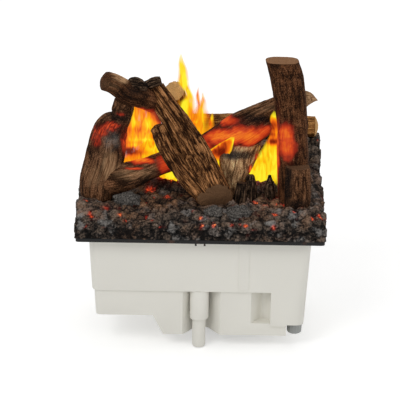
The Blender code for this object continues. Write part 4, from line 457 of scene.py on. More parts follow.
def coil(low, high, wire_r, turns, around=48, sides=10):
    """A coil spring: a circle carried along a helix that fills the box from low to high, with flat ends."""
    t = np.linspace(0, 1, turns * around + 1)
    low, high = np.array(low), np.array(high)
    radius = (high[0] - low[0]) / 2 - wire_r
    turn = 2 * math.pi * turns * t
    out = joined(np.cos(turn), np.sin(turn), 0.0)
    rise = (high[2] - low[2] - 2 * wire_r) / (2 * math.pi * turns)
    way = unit(joined(-radius * np.sin(turn), radius * np.cos(turn), rise))
    middle = (low + high) / 2 + out * radius
    middle[:, 2] = low[2] + wire_r + rise * turn
    a = np.linspace(0, 2 * math.pi, sides, endpoint=False)[None, :, None]
    points = middle[:, None] + wire_r * (np.cos(a) * out[:, None] + np.sin(a) * np.cross(out, way)[:, None])
    last = (len(t) - 1) * sides
    ends = [list(range(sides)), [last + k for k in range(sides)][::-1]]
    return points.reshape(-1, 3), grid_faces(len(t), sides)[:, ::-1].tolist() + ends


spring_low, spring_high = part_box("valve_spring")
spring_shape = coil(spring_low, spring_high, SPRING_WIRE_R, SPRING_TURNS)
spring = mesh_piece("pin_spring", *spring_shape, "filler_cap", steel, "steel")
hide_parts("valve_spring")
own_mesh(spring)


# Ember bed
# One vacuum-formed shell of heaped coals, with broken grey and brown rubble on top, cracks that
# glow from the lamps below, and a slot where the lit mist comes out. Painted shade darkens the
# cracks between its coals and its wall, and painted highlights and firelight lie on the rubble.

# Sizes in metres. The tables of places are in millimetres.
RIM = 0.195
BED_W, BED_D, BED_H = 0.405, 0.29, 0.112
RISE = (
    # share of the way from front to back, share of the bed's height
    (0.0, 0.24), (0.05, 0.33), (0.14, 0.4), (0.3, 0.45), (0.45, 0.47), (0.6, 0.52), (0.72, 0.72),
    (0.84, 0.9), (1.0, 0.88),
)
FALL_FROM, FALL_TO, FALL_SHARE = (-0.18, 0.02), (-0.34, 0.32), 0.46
SLOT_W, SLOT_D, SLOT_X, SLOT_Y, SLOT_CORNER = 0.214, 0.062, 0.004, 0.014, 0.014
BED_GAP, BED_CORNER, BED_FOOT = 0.0003, 0.004, 0.1968
LIP_TOP, STEP_IN = 0.2013, 0.0045
BED_WALL, BED_ROOF = 0.012, 0.014
EDGE_SAG, EDGE_FROM, EDGE_REACH = 0.002, 0.95, 0.05
LUMP_W, CHIP_W, BIT_W = 0.03, 0.0165, 0.0062
LUMP_H, CHIP_H, BIT_H = 0.0055, 0.0048, 0.0018
LUMP_WARP, CHIP_WARP, BIT_WARP = 0.03, 0.014, 0.005
WARP_W, WARP_SHARE = 0.022, 0.35
# How much of its height each kind of dome varies by, and the level that its relief is measured from
LUMP_GAIN, LUMP_VARIES, CHIP_VARIES = 1.25, 0.25, 0.2
LUMP_LEVEL, CHIP_LEVEL, BIT_LEVEL = 0.58, 0.62, 0.6
CELL_SPREAD, DOME_CURVE = 0.42, 0.6
MOUND_Y, MOUND_H, MOUND_REACH, MOUND_HALF, MOUND_END = -0.023, 0.013, 0.009, 0.128, 0.012
MOUTH_HEAT, MOUTH_REACH = 0.92, 0.005
WANDER_W, WANDER = 0.0035, 0.35
STRAY_HEAT, STRAY_W, STRAY_FROM, STRAY_REACH = 0.85, 0.011, 0.215, 0.008
WAVY_W, WAVY_FINE_W, WAVY_SHARE, WAVY_MOST = 0.009, 0.004, 0.3, 0.0045
WALL_SHARE, WALL_SINK, WALL_BLEND = 1.3, 0.0006, 5
SLOT_HOLD, LIP_HOLD = (0.1, 0.5, 0.8), (0.7, 0.3)
CRACK_LEVEL, CRACK_CHIP, CRACK_BIT = 1.3, 0.9, 0.55
EMBER_EDGE, SPOT_EDGE = 1.5, 1.6
HEAPS = (
    # x, y, reach in x and y, height: coals heaped a little higher about the logs' feet
    (-186, -94, 22, 30, 11), (-150, -106, 30, 14, 9), (160, -106, 30, 12, 6), (188, -30, 14, 60, 6),
    (188, 70, 14, 40, 6), (-68, -21, 20, 10, 10),
)
LONG_STEPS, SHORT_STEPS, CORNER_STEPS = 230, 150, 4
TOP_STEPS, WALL_STEPS = 64, 14


def metres(lengths):
    """Lengths of the tables, which are in millimetres, in metres."""
    return np.array(lengths, float) / 1000


def scatter(cell, seed):
    """A number from -1 to 1 for each whole-number point: its parts times large primes, mixed by shifts."""
    cell = cell.astype(np.int64) * (73856093, 19349663, 83492791)
    mixed = cell[..., 0] ^ cell[..., 1] ^ cell[..., 2] ^ (seed * 2654435)
    mixed = ((mixed ^ (mixed >> 13)) * 1274126177) & 0x7FFFFFFF
    mixed = ((mixed ^ (mixed >> 15)) * 2246822519) & 0x7FFFFFFF
    return mixed / 0x3FFFFFFF - 1.0


def smooth(t):
    """0 below 0, 1 above 1, and 3t^2 - 2t^3 between."""
    t = np.clip(t, 0, 1)
    return t * t * (3 - 2 * t)


def lattice(points, seed):
    """Smooth noise from -1 to 1: a number at each whole-number point, blended by 3t^2 - 2t^3 between."""
    cell = np.floor(points)
    t = smooth(points - cell)
    total = np.zeros(points.shape[:-1])
    for corner in np.ndindex(2, 2, 2):
        weight = np.prod(np.where(corner, t, 1 - t), axis=-1)
        total += weight * scatter(cell + corner, seed)
    return total


def cells(points, seed):
    """Distances to the nearest and next of points scattered one to a cube, and the nearest's number."""
    base = np.floor(points)
    near = np.full(points.shape[:-1], 9.0)
    second, mark = near.copy(), np.zeros_like(near)
    for offset in np.ndindex(3, 3, 3):
        cell = base + offset - 1
        spot = cell + 0.5 + CELL_SPREAD * np.stack([scatter(cell, seed + k) for k in (1, 2, 3)], -1)
        far = np.linalg.norm(spot - points, axis=-1)
        closer = far < near
        second = np.where(closer, near, np.minimum(second, far))
        mark = np.where(closer, scatter(cell, seed + 4), mark)
        near = np.where(closer, far, near)
    return near, second, mark


def domes(points, size, seed, reach=0.55):
    """Domes from 0 to 1 with sharp cracks between, one to a cell of this size, and each dome's number."""
    near, second, mark = cells(points / size, seed)
    return np.clip((second - near) / reach, 0, 1) ** DOME_CURVE, mark


def ring(half_w, half_d, corner, middle=(0.0, 0.0)):
    """Points anticlockwise round a rectangle with round corners, evenly spaced along each side."""
    hubs = np.array(SQUARE) * (half_w - corner, half_d - corner)
    sides_out = corner * np.array(((0, -1), (1, 0), (0, 1), (-1, 0)))
    parts = []
    for quarter, steps in enumerate((LONG_STEPS, SHORT_STEPS, LONG_STEPS, SHORT_STEPS)):
        angle = np.linspace(-math.pi, -math.pi / 2, CORNER_STEPS, endpoint=False) + quarter * math.pi / 2
        hub, next_hub = hubs[quarter], hubs[(quarter + 1) % 4]
        parts.append(hub + corner * joined(np.cos(angle), np.sin(angle)))
        side = (next_hub - hub) * np.linspace(0, 1, steps, endpoint=False)[:, None]
        parts.append(hub + sides_out[quarter] + side)
    return np.concatenate(parts) + middle


def bed_rise(x, y):
    """The bed's smooth height over the rim: 3t^2 - 2t^3 between the listed heights, less the fall."""
    share = np.clip(y / BED_D + 0.5, 0, 1)
    depths, heights = np.array(RISE).T
    span = np.clip(np.searchsorted(depths, share) - 1, 0, len(depths) - 2)
    t = smooth((share - depths[span]) / (depths[span + 1] - depths[span]))
    fall = smooth((x / BED_W - FALL_FROM[0]) / (FALL_TO[0] - FALL_FROM[0]))
    fall = fall * smooth((y / BED_D - FALL_FROM[1]) / (FALL_TO[1] - FALL_FROM[1]))
    return BED_H * (heights[span] + (heights[span + 1] - heights[span]) * t - FALL_SHARE * fall)


def turned_out(grid):
    """Unit normals of a grid whose rows are closed rings: the cross product of its two differences."""
    return unit(np.cross(np.gradient(grid, axis=0), np.roll(grid, -1, 1) - np.roll(grid, 1, 1)))


def rubble(points, seed=5):
    """Heaped coals: domed lumps, each broken into chips and bits by smaller domes, and the chips' numbers."""
    points = points - (0.0, 0.0, RIM)
    warp = WARP_SHARE * np.stack([lattice(points / WARP_W, seed + k) for k in (11, 12, 13)], -1)
    lump, mark = domes(points + LUMP_WARP * warp, LUMP_W, seed)
    chip, kind = domes(points + CHIP_WARP * warp, CHIP_W, seed + 20)
    bit, _ = domes(points + BIT_WARP * warp, BIT_W, seed + 30)
    coarse = LUMP_GAIN * lump * (1 - LUMP_VARIES + LUMP_VARIES * mark) - LUMP_LEVEL
    middling = chip * (1 - CHIP_VARIES + CHIP_VARIES * kind) - CHIP_LEVEL
    height = LUMP_H * coarse + CHIP_H * middling + BIT_H * (bit - BIT_LEVEL)
    return height, lump, chip, bit, 0.5 + 0.5 * kind


top_share = np.linspace(0, 1, TOP_STEPS)
slot_ring = ring(SLOT_W / 2, SLOT_D / 2, SLOT_CORNER, (SLOT_X, SLOT_Y))
outer_ring = ring(BED_W / 2 - BED_GAP, BED_D / 2 - BED_GAP, BED_CORNER)
count = len(outer_ring)
top_xy = slot_ring + (outer_ring - slot_ring) * top_share[:, None, None]
sag = np.clip((top_share - EDGE_FROM) / EDGE_REACH, 0, 1)[:, None]
top_z = RIM + bed_rise(top_xy[..., 0], top_xy[..., 1]) - EDGE_SAG * sag**2
wall_share = np.linspace(0, 1, WALL_STEPS + 1)[1:, None]
wall_z = top_z[-1] + (LIP_TOP - top_z[-1]) * wall_share
sections = [
    np.concatenate([top_xy, top_z[..., None]], -1),
    np.concatenate([np.broadcast_to(outer_ring, (WALL_STEPS, count, 2)), wall_z[..., None]], -1),
]


def under_roof(flat):
    """A ring of the shell's roof, one roof thickness below the smooth heap."""
    return np.concatenate([flat, (RIM + bed_rise(flat[:, 0], flat[:, 1]) - BED_ROOF)[:, None]], -1)[None]


def level_ring(inset, z):
    """A ring of the shell's foot, drawn in from the bed's outline."""
    flat = ring(BED_W / 2 - inset, BED_D / 2 - inset, BED_CORNER)
    return np.concatenate([flat, np.full((count, 1), z)], -1)[None]


inner_ring = ring(BED_W / 2 - BED_WALL, BED_D / 2 - BED_WALL, BED_CORNER)
sections += [level_ring(STEP_IN, LIP_TOP), level_ring(STEP_IN, BED_FOOT), level_ring(BED_WALL, BED_FOOT)]
sections += [under_roof(inner_ring + (slot_ring - inner_ring) * t) for t in (0.0, 0.2, 0.4, 0.6, 0.8, 1.0)]
shell = np.concatenate(sections)
rows = len(shell)
relief_rows = TOP_STEPS + WALL_STEPS
normal = turned_out(shell)
height, lump, chip, bit, kind = rubble(shell)
# How much each ring takes of the relief: little at the slot and at the lip, none in the foot and roof.
hold = np.ones(rows)
hold[relief_rows:] = 0.0
hold[relief_rows - len(LIP_HOLD):relief_rows] = LIP_HOLD
hold[:len(SLOT_HOLD)] = SLOT_HOLD
is_wall = np.clip((np.arange(rows) - TOP_STEPS + WALL_BLEND - 1) / WALL_BLEND, 0, 1)[:, None]
height = height * (1 - is_wall) + np.minimum(WALL_SHARE * height - WALL_SINK, 0.0) * is_wall
shell = shell + normal * (height * hold[:, None])[..., None]
mound = MOUND_H * np.exp(-((shell[..., 1] - MOUND_Y) / MOUND_REACH) ** 2)
mound = mound * smooth((MOUND_HALF - np.abs(shell[..., 0] - SLOT_X)) / MOUND_END)
heap = mound * (0.75 + 0.5 * chip)
for x, y, reach_x, reach_y, rise in metres(HEAPS):
    heap += rise * np.exp(-(((shell[..., 0] - x) / reach_x) ** 2) - ((shell[..., 1] - y) / reach_y) ** 2)
shell[:TOP_STEPS, :, 2] += heap[:TOP_STEPS]
shell[..., 0] = np.clip(shell[..., 0], -BED_W / 2, BED_W / 2)
shell[..., 1] = np.clip(shell[..., 1], -BED_D / 2, BED_D / 2)

# Places on the bed where the lamps below show through its cracks: x, y, z, reach and heat.
EMBERS = (
    (-155.1, -106.7, 239.5, 7.5, 0.9), (-131, -122.3, 233.8, 4.5, 1.05), (-179.2, -121.2, 234.2, 6.5, 0.66),
    (-164, -119, 235, 4, 0.6), (1.4, -125, 232.8, 4.2, 0.86), (1.6, -138.5, 225.9, 4.5, 0.92),
    (21.5, -138.9, 225.6, 3.5, 1.05), (50.3, -137.9, 226.6, 4.5, 0.68), (45.4, -133.4, 230.8, 3.5, 0.7),
    (63.1, -136.6, 228, 3.5, 0.66), (71.9, -138.9, 225.6, 4, 1.05), (117.4, -140.2, 224.4, 5, 0.66),
    (119.4, -114.6, 237, 5.5, 0.74), (76.1, -144.9, 210.9, 4, 0.56), (162.8, -95.8, 240.3, 6.5, 0.68),
    (179.5, -121.8, 233.9, 4, 0.7), (190.1, -116.3, 236.3, 4, 0.78), (150.1, -110.5, 238.6, 4, 0.8),
    (104, -84.5, 242, 6, 0.7), (135.1, -77.1, 243.3, 7, 0.62), (-55.5, -58.8, 245.4, 7, 0.6),
    (-84.1, -34.6, 246.6, 9, 0.6), (116.3, -50.9, 245.6, 11, 0.66), (188.6, 60, 260.7, 10, 0.74),
    (-20, 75, 287, 18, 0.72), (80, 80, 288, 20, 0.72), (-110, 60, 256, 18, 0.7), (150, 30, 254, 16, 0.7),
    (-160, 20, 250, 15, 0.66), (40, 135, 294, 10, 0.62),
)
glow = np.zeros(shell.shape[:2])
wander = np.stack([lattice(shell / WANDER_W, 50 + k) for k in range(3)], -1)
for *lengths, heat in EMBERS:
    *middle, reach = metres(lengths)
    away = ((shell - middle + WANDER * reach * wander) ** 2).sum(-1)
    glow = np.maximum(glow, heat * np.exp(-(away / reach**2) ** EMBER_EDGE))
slot_far = (
    np.maximum(np.abs(shell[..., 0] - SLOT_X) - SLOT_W / 2, 0) ** 2
    + np.maximum(np.abs(shell[..., 1] - SLOT_Y) - SLOT_D / 2, 0) ** 2
)
mouth = MOUTH_HEAT * np.exp(-slot_far / (2 * MOUTH_REACH**2))
crack = np.clip(CRACK_LEVEL - CRACK_CHIP * chip - CRACK_BIT * bit, 0, 1)
stray = STRAY_HEAT * smooth((lattice(shell / STRAY_W, 77) - 0.5) / 0.3)
stray = stray * smooth((shell[..., 2] - STRAY_FROM) / STRAY_REACH) * crack**2
glow = np.maximum(np.maximum(glow * (0.5 + 0.65 * crack), mouth * (0.4 + 0.6 * crack)), stray)
glow = glow * (hold[:, None] > 0)


def spots_on(points, spots):
    """The greatest of soft blobs with wavy edges: each is a middle, its three reaches and its strength."""
    total = np.zeros(points.shape[:-1])
    broad = [lattice(points / WAVY_W, 60 + k) for k in range(3)]
    shift = np.stack([broad[k] + 0.5 * lattice(points / WAVY_FINE_W, 64 + k) for k in range(3)], -1)
    for *lengths, strength in spots:
        middle, reach = metres(lengths[:3]), metres(lengths[3:])
        away = (points - middle + shift * np.minimum(reach * WAVY_SHARE, WAVY_MOST)) / reach
        total = np.maximum(total, strength * np.exp(-((away**2).sum(-1)) ** SPOT_EDGE))
    return total


# Pools of firelight painted on the coals about the flames' feet, which tint them brown: x, y, z, three
# reaches and strength.
FIRELIGHT_SPOTS = (
    (120, -75, 245, 32, 30, 30, 1.0), (-75, -75, 245, 50, 30, 30, 0.8), (-100, -120, 235, 30, 20, 30, 0.6),
    (10, -70, 245, 40, 30, 30, 0.7),
)
warmth = spots_on(shell, FIRELIGHT_SPOTS)


def give(piece, **values):
    """Stores values for each point of the piece's mesh, for its material to read."""
    for name, value in values.items():
        held = piece.data.attributes.new(name, "FLOAT", "POINT")
        held.data.foreach_set("value", np.ascontiguousarray(value, np.float32).ravel())


def embers(heat):
    """The colour of a glowing place: black, dark red, red, orange, yellow."""
    return heat.node("ValToRGB", {"Fac": heat}, stops=(
        (0.0, (0.0, 0.0, 0.0)), (1.0, (1.0, 0.72, 0.06)), (0.24, (0.03, 0.002, 0.001)),
        (0.46, (0.26, 0.014, 0.005)), (0.66, (0.62, 0.055, 0.009)), (0.84, (0.95, 0.24, 0.012)),
    ))


coal_finish, shader, place = finish("moulded coals", Emission_Strength=1.0, Specular_IOR_Level=0.22)
heat, deep, sort, warm, soot = (place.held(part) for part in ("glow", "relief", "kind", "warmth", "soot"))
grit = noise(place, 300.0, 5.0, 0.7)
pick = noise(place, 22.0, 3.0, 0.6)
# The domes' heights (deep) paint the cracks between the coals darker and their tops lighter: painted shade
# and light. The bed's wall is darker still, as painted shade.
tone = step(deep * 1.05 + (grit - 0.5) * 2.1 + (sort - 0.5) * 0.3 - soot * 0.18, 0.2, 1.22)
cinder = blend(tone, (0.004, 0.0032, 0.0028), (0.235, 0.168, 0.124))
slate = blend(tone, (0.005, 0.005, 0.0052), (0.27, 0.265, 0.255))
brown = blend(tone, (0.006, 0.0028, 0.0016), (0.34, 0.178, 0.096))
stone = blend(step(sort + (pick - 0.5) * 1.2, 0.55, 0.8) * 0.75, cinder, slate)
# Painted firelight turns the coals brown near the flames, on top of brown patches of their own.
stone = blend((step(pick, 0.5, 0.62) * 0.6 + warm).least(1.0), stone, brown)
# Painted highlights: pale flecks on the crests, fewer on the shaded wall.
stone = blend(step(grit + deep * 0.08, 0.7, 0.78) * (1 - soot * 0.5), stone, (0.36, 0.33, 0.29))
fine_heat = heat * (step(noise(place, 300.0, 3.0), 0.38, 0.62) * 0.5 + 0.65)
wired(
    shader, Base_Color=stone, Roughness=0.95 - tone * 0.3,
    Emission_Color=embers(fine_heat), Normal=relief(grit, 0.0022),
)

faces = grid_faces(rows, count, wrap_rows=True)[:, ::-1]
bed = mesh_piece("ember_shell", shell.reshape(-1, 3), faces, "fuel_bed", coal_finish, "coal")
# The bed's wall is stored as a mask of painted shade, which darkens it.
give(
    bed, glow=glow, relief=0.3 * lump + 0.4 * chip + 0.3 * bit, kind=kind, warmth=warmth,
    soot=np.broadcast_to(is_wall, kind.shape),
)
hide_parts("ember_bed")


# Logs
# Each log is cast from real wood and painted: a skin carried along a bent path, furrowed along
# its grain. Sawn ends are lighter, and places near the flames glow through.

SKIN_STEP = 0.002
GRAIN_DRAWN, BARK_WARP_W, BARK_WARP = 0.12, 0.022, 0.45
BROAD_H, THREADS, BROAD = 0.0014, (620, 620, 60), (48, 48, 22)
# The cracks between ridges and between ribs, and how fine and high the ribs are
RIDGE_CRACK, RIB_CRACK, CRACK_CURVE = 0.3, 0.35, 0.7
RIB_FINER, RIB_SHARE, BARK_LEVEL = 2.1, 0.4, 0.8
CAP_SHARES, CAP_ROUGH, CAP_GRAIN, CAP_TONE = np.array((0.97, 0.88, 0.72, 0.5, 0.25)), 0.0006, 0.003, 0.6


def curve_through(points, count):
    """Evenly numbered places on the Catmull-Rom curve through the points."""
    ends = np.concatenate([2 * points[:1] - points[1:2], points, 2 * points[-1:] - points[-2:-1]])
    at = np.linspace(0, len(points) - 1, count)
    span = np.minimum(at.astype(int), len(points) - 2)
    t = (at - span)[:, None]
    a, b, c, d = (ends[span + k] for k in range(4))
    return (2 * b + (c - a) * t + (2 * a - 5 * b + 4 * c - d) * t**2 + (3 * b - a - 3 * c + d) * t**3) / 2


def cracked(points, seed, width):
    """1, but falling to 0 in cracks of this width along the zero lines of smooth noise."""
    return np.clip(np.abs(lattice(points, seed)) / width, 0, 1) ** CRACK_CURVE


def closed_skin(grid, foot, top):
    """A tube of rings, closed by a fan of triangles to a point at each end: its points and faces."""
    rows, sides = grid.shape[:2]
    turn = np.arange(sides)
    after, last = (turn + 1) % sides, (rows - 1) * sides
    fans = [joined(rows * sides, turn, after), joined(rows * sides + 1, last + after, last + turn)]
    faces = grid_faces(rows, sides)[:, ::-1].tolist() + np.concatenate(fans).tolist()
    return np.concatenate([grid.reshape(-1, 3), [foot, top]]), faces


def log_skin(path, girth, seed, furrow=2.4, spacing=6, fibre=0.5, squareness=2.0, cuts=(None, None), knots=(),
             sides=128, ends=(2, 2), sawn=(1.0, 1.0)):
    """A closed log skin: superellipse rings along a curve, pushed out by furrowed bark.

    Bark stands at its full height but falls to cracks along the zero lines of smooth noise that is
    drawn out along the grain, at two sizes. girth lists the half widths across and towards the front
    at each path point; cuts are the directions that the foot's and the top's end faces look in; sawn
    tells how far each end is bare wood; knots are (share along, angle, two reaches, height). Lengths
    are in millimetres.
    """
    path, girth, ends = metres(path), metres(girth), metres(ends)
    furrow, spacing, fibre = metres((furrow, spacing, fibre))
    length = np.linalg.norm(np.diff(curve_through(path, 60), axis=0), axis=1).sum()
    body = max(int(length / SKIN_STEP), 8)
    centre = curve_through(path, body)
    way = unit(np.gradient(centre, axis=0))
    front = unit(np.array((0.0, -1.0, 0.0)) + way * way[:, 1:2])
    across = np.cross(way, front)
    half = curve_through(girth, body)
    angle = np.linspace(0, 2 * math.pi, sides, endpoint=False)
    cos, sin = np.cos(angle), np.sin(angle)
    squash = (np.abs(cos) ** squareness + np.abs(sin) ** squareness) ** (-1 / squareness)
    along = np.linspace(0, length, body)
    grain = joined(half[:, :1] * cos, half[:, 1:] * sin, along[:, None])
    bent = grain * (1, 1, GRAIN_DRAWN) / spacing
    bent = bent + BARK_WARP * lattice(grain / BARK_WARP_W + seed, seed + 6)[..., None]
    ridge = cracked(bent + seed * 7.3, seed, RIDGE_CRACK)
    rib = cracked(bent * RIB_FINER + seed * 3.1, seed + 1, RIB_CRACK)
    threads = 1 - 2 * np.abs(lattice(grain * THREADS + seed, seed + 3))
    broad = lattice(grain * BROAD + seed, seed + 5)
    height = furrow * (ridge - BARK_LEVEL) + RIB_SHARE * furrow * (rib - BARK_LEVEL)
    height = height + fibre * threads + BROAD_H * broad
    for share, turn, *lengths in knots:
        reach_along, reach_across, rise = metres(lengths)
        off_along = (along[:, None] - share * length) / reach_along
        off_across = half[:, :1] * np.angle(np.exp(1j * (angle - turn))) / reach_across
        height = height + rise * np.exp(-(joined(off_along, off_across) ** 2).sum(-1))
    reach_x, reach_f = half[:, :1] * squash + height, half[:, 1:] * squash + height
    sideways = across[:, None] * (reach_x * cos)[..., None]
    points = centre[:, None] + sideways + front[:, None] * (reach_f * sin)[..., None]
    for end, cut in enumerate(cuts):
        if cut is not None:
            axis = way[-end]
            cut = unit(np.array(cut, float))
            gap = along if end == 0 else length - along
            flat = (points - centre[:, None]) @ cut / (axis @ cut)
            points -= axis * (flat * np.clip(1 - gap / (4 * half.max()), 0, 1)[:, None])[..., None]
    caps = []
    for end, depth in enumerate(ends):
        edge, out = (points[0], -way[0]) if end == 0 else (points[-1], way[-1])
        middle = edge.mean(0)
        bulge = depth * (1 - CAP_SHARES**2)[:, None, None]
        rings_now = middle + (edge - middle) * CAP_SHARES[:, None, None] + out * bulge
        rough = CAP_ROUGH * lattice(rings_now / CAP_GRAIN, seed + 9)[..., None]
        caps.append((rings_now + out * rough, middle + out * depth))
    (foot_cap, foot), (top_cap, top) = caps
    every, faces = closed_skin(np.concatenate([foot_cap[::-1], points, top_cap]), foot, top)
    whole = [grain[0] * CAP_SHARES[::-1, None, None], grain, grain[-1] * CAP_SHARES[:, None, None]]
    whole = np.concatenate([np.concatenate(whole).reshape(-1, 3), np.zeros((2, 3))])
    cap_on = np.ones((len(CAP_SHARES), sides))
    is_cut = np.concatenate([cap_on * sawn[0], np.zeros((body, sides)), cap_on * sawn[1]]).ravel()
    # The ridges' heights, which the material turns into painted shade in the cracks and lighter ridges.
    tone = np.concatenate([cap_on * CAP_TONE, ridge * (0.55 + 0.45 * rib), cap_on * CAP_TONE]).ravel()
    return every, faces, {
        "cut": np.append(is_cut, sawn), "relief": np.append(tone, (CAP_TONE, CAP_TONE)), "grain": whole,
    }


def wood(name, dark, light, end, speck=0.25, streaky=1.0, licked=0.15):
    """Painted wood: bark between two browns with dark cracks along it, painted as shade, a painted highlight
    on its fibres, ringed sawn ends, and four marks.

    The marks are stored on the mesh: glow is fire, ash is grey, bare is tan stripped wood, and the last is
    charring together with painted shade and shadow.
    """
    made, shader, place = finish(name, Emission_Strength=1.0, Specular_IOR_Level=0.07)
    stored = ("cut", "relief", "glow", "ash", "bare", "char_and_shade")
    cut, tone, heat, ash, bare, char_and_shade = (place.held(part) for part in stored)
    fibre = place.held("grain", "Vector")
    streak = noise(fibre.drawn(1.0, 1.0, 0.08), 480.0, 4.0, 0.7)
    split = abs(noise(fibre.drawn(1.0, 1.0, 0.06), 170.0, 3.0, 0.5) - 0.5)
    blotch = noise(fibre, 42.0, 4.0, 0.6)
    grit = noise(place, 850.0, 3.0, 0.6)
    # The bark is painted darker in its cracks as shade: the ridges' heights (tone) and the open cracks darken
    # it.
    open_crack = (1 - step(split, 0.004, 0.03)) * streaky
    level = tone * 0.45 + (streak - 0.5) * (2.4 * streaky) + (blotch - 0.5) * 0.8
    level = level + (grit - 0.5) * (2.4 - 1.4 * streaky)
    level = step(level, -0.1, 0.85) * (1 - open_crack * 0.75)
    # deep is the painted shade in the cracks, and bright a painted highlight on the fibres.
    deep = tuple(part * 0.25 for part in dark)
    bright = tuple(min(part * 1.8 + 0.015, 0.8) for part in light)
    browns = ((0.0, deep), (1.0, bright), (0.28, dark), (0.7, light))
    bark = level.node("ValToRGB", {"Fac": level}, stops=browns)
    bark = blend(step(grit, 0.6, 0.7) * speck, bark, (0.24, 0.14, 0.085))
    tan = blend(step(streak, 0.36, 0.62), (0.17, 0.078, 0.034), (0.6, 0.36, 0.19))
    bark = blend((bare * step(streak + tone * 0.2, 0.28, 0.5) * 1.3).least(1.0), bark, tan)
    bark = blend(ash * step(blotch + streak * 0.7, 0.6, 0.98), bark, (0.23, 0.22, 0.205))
    # The dark mark: charring, and painted shade and shadow under and between the pieces.
    bark = blend(char_and_shade * (1 - step(grit, 0.58, 0.68) * 0.7), bark, (0.006, 0.004, 0.0035))
    bark = blend(step(heat, 0.08, 0.5) * 0.8, bark, (0.02, 0.008, 0.005))
    flat = fibre.drawn(1.0, 1.0, 0.0)
    across = flat.node("VectorMath", {0: flat}, out="Value", operation="LENGTH")
    turns = across * 2200.0 + blotch * 14.0
    rings = turns.math("SINE", turns) * 0.5 + 0.5
    worn = rings * 0.18 + step(grit, 0.38, 0.62) * 0.4 + step(blotch, 0.4, 0.65) * 0.26
    sawn = blend(worn, end, [part * 0.38 for part in end])
    fire = heat * (step(streak + blotch * 0.5, 0.55, 0.9) * licked + (1.05 - licked))
    wired(
        shader, Base_Color=blend(cut, bark, sawn), Roughness=0.94 - level * 0.25,
        Emission_Color=embers(fire), Normal=relief(streak * 0.7 + grit * 0.3 - open_crack * 0.5, 0.0013),
    )
    return made


def make_log(name, stands_for, material, slot, path, girth, seed, glow=(), ash=(), bare=(), char_and_shade=(), **shape):
    """A log with its glowing, ashy, bare and charred places and its painted shade and shadow, riding on the
    bed and standing for its solid.

    shape is what else log_skin takes.
    """
    points, faces, values = log_skin(path, girth, seed, **shape)
    piece = mesh_piece(name, points, faces, "fuel_bed", material, slot)
    held = piece.data.attributes.new("grain", "FLOAT_VECTOR", "POINT")
    held.data.foreach_set("vector", values.pop("grain").astype(np.float32).ravel())
    for mark, spots in (("glow", glow), ("ash", ash), ("bare", bare), ("char_and_shade", char_and_shade)):
        values[mark] = spots_on(points, spots)
    give(piece, **values)
    if stands_for:
        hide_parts(stands_for)


bark = wood("dark bark", (0.06, 0.022, 0.0075), (0.29, 0.128, 0.045), (0.24, 0.125, 0.062))
smooth_bark = wood(
    "fine bark", (0.034, 0.0125, 0.005), (0.122, 0.046, 0.017), (0.34, 0.17, 0.08), speck=0.5, streaky=0.2,
)
trunk_bark = wood(
    "brown bark", (0.042, 0.017, 0.007), (0.18, 0.08, 0.036), (0.22, 0.115, 0.06), speck=0.5, streaky=0.35,
    licked=0.75,
)
split_bark = wood(
    "split bark", (0.045, 0.018, 0.0075), (0.2, 0.086, 0.038), (0.22, 0.115, 0.06), speck=0.4, streaky=0.5,
)
pale_wood = wood("sawn wood", (0.24, 0.095, 0.026), (0.5, 0.235, 0.074), (0.9, 0.52, 0.21), streaky=0.7)
grey_wood = wood("weathered wood", (0.34, 0.185, 0.085), (0.68, 0.42, 0.21), (0.4, 0.24, 0.13), streaky=0.6)
charred = wood("charred wood", (0.012, 0.0065, 0.004), (0.105, 0.062, 0.036), (0.09, 0.05, 0.03))


# Upright log and the stub before it
# The tallest log stands at the right, a little bent, with a sawn top. A short dark stub is
# cast to its front, and the flames behind light its left side.

make_log(
    "upright_log", "log_upright", smooth_bark, "bark",
    (
        (153, -51.5, 237.5), (147.5, -47, 327.7), (145, -42.5, 375), (136.5, -35, 436.5),
        (127.8, -32.5, 470.5),
    ),
    ((25.5, 25), (24.8, 24), (24.8, 24), (26.2, 24), (25.5, 22.5)),
    3, furrow=0.5, spacing=3, fibre=0.3, squareness=2.7, cuts=(None, (0, 0, 1)), ends=(1, 0.5),
    knots=((0.45, 0.3, 10, 10, 2),),
    glow=(
        (134.5, -68, 357, 15.5, 30, 21, 0.71), (138.5, -68, 336, 16.5, 30, 23, 0.71),
        (122.5, -50, 310, 5, 30, 75, 0.74),
    ),
)
make_log(
    "right_stub", "log_right_stub", trunk_bark, "bark",
    ((157, -77, 237.5), (156.6, -75.5, 272), (156, -74.5, 305.5)),
    ((21.5, 18), (20.8, 18), (19.5, 17)),
    8, furrow=1, cuts=(None, (0, 0, 1)), ends=(1, 0.4), sawn=(1.0, 0.45),
    # Painted shade darkens the stub's left side, and a painted shadow lies at its foot.
    char_and_shade=((137.5, -90, 275, 10, 30, 50, 1.0), (157, -95, 246, 25, 20, 9, 0.9)),
)


# Long diagonal log
# The longest piece of old bark leans from the upper left down to the middle, with deep
# furrows. A second strand of bark runs beside it, and its foot is cut towards the front.

make_log(
    "diagonal_log", "log_diagonal", bark, "bark",
    ((26.7, -87.9, 253.6), (-4.1, -65, 310), (-36.9, -45, 360.1), (-78.6, -20.6, 415.1)),
    ((24, 23.5), (23.3, 22.8), (20.4, 20.4), (18, 17.5)),
    12, furrow=3.2, fibre=0.6, cuts=((0.3, -0.8, -0.35), None), ends=(0.5, 6), sawn=(1.0, 0.0),
)
make_log(
    "diagonal_strand", None, bark, "bark",
    ((10, -95, 254.4), (-27, -78, 290.1), (-55, -63, 327), (-71.5, -49, 359)),
    ((14, 13.5), (14, 13.5), (14, 13), (13, 11)),
    17, furrow=2.6, fibre=0.6, cuts=((0.3, -0.8, -0.35), None), ends=(0.5, 6), sawn=(1.0, 0.0),
)


# Left trunk, front limb and branch
# A thick forked piece stands at the left: its trunk glows on top, its limb runs to the front
# of the flames, and its neck carries a sawn branch.

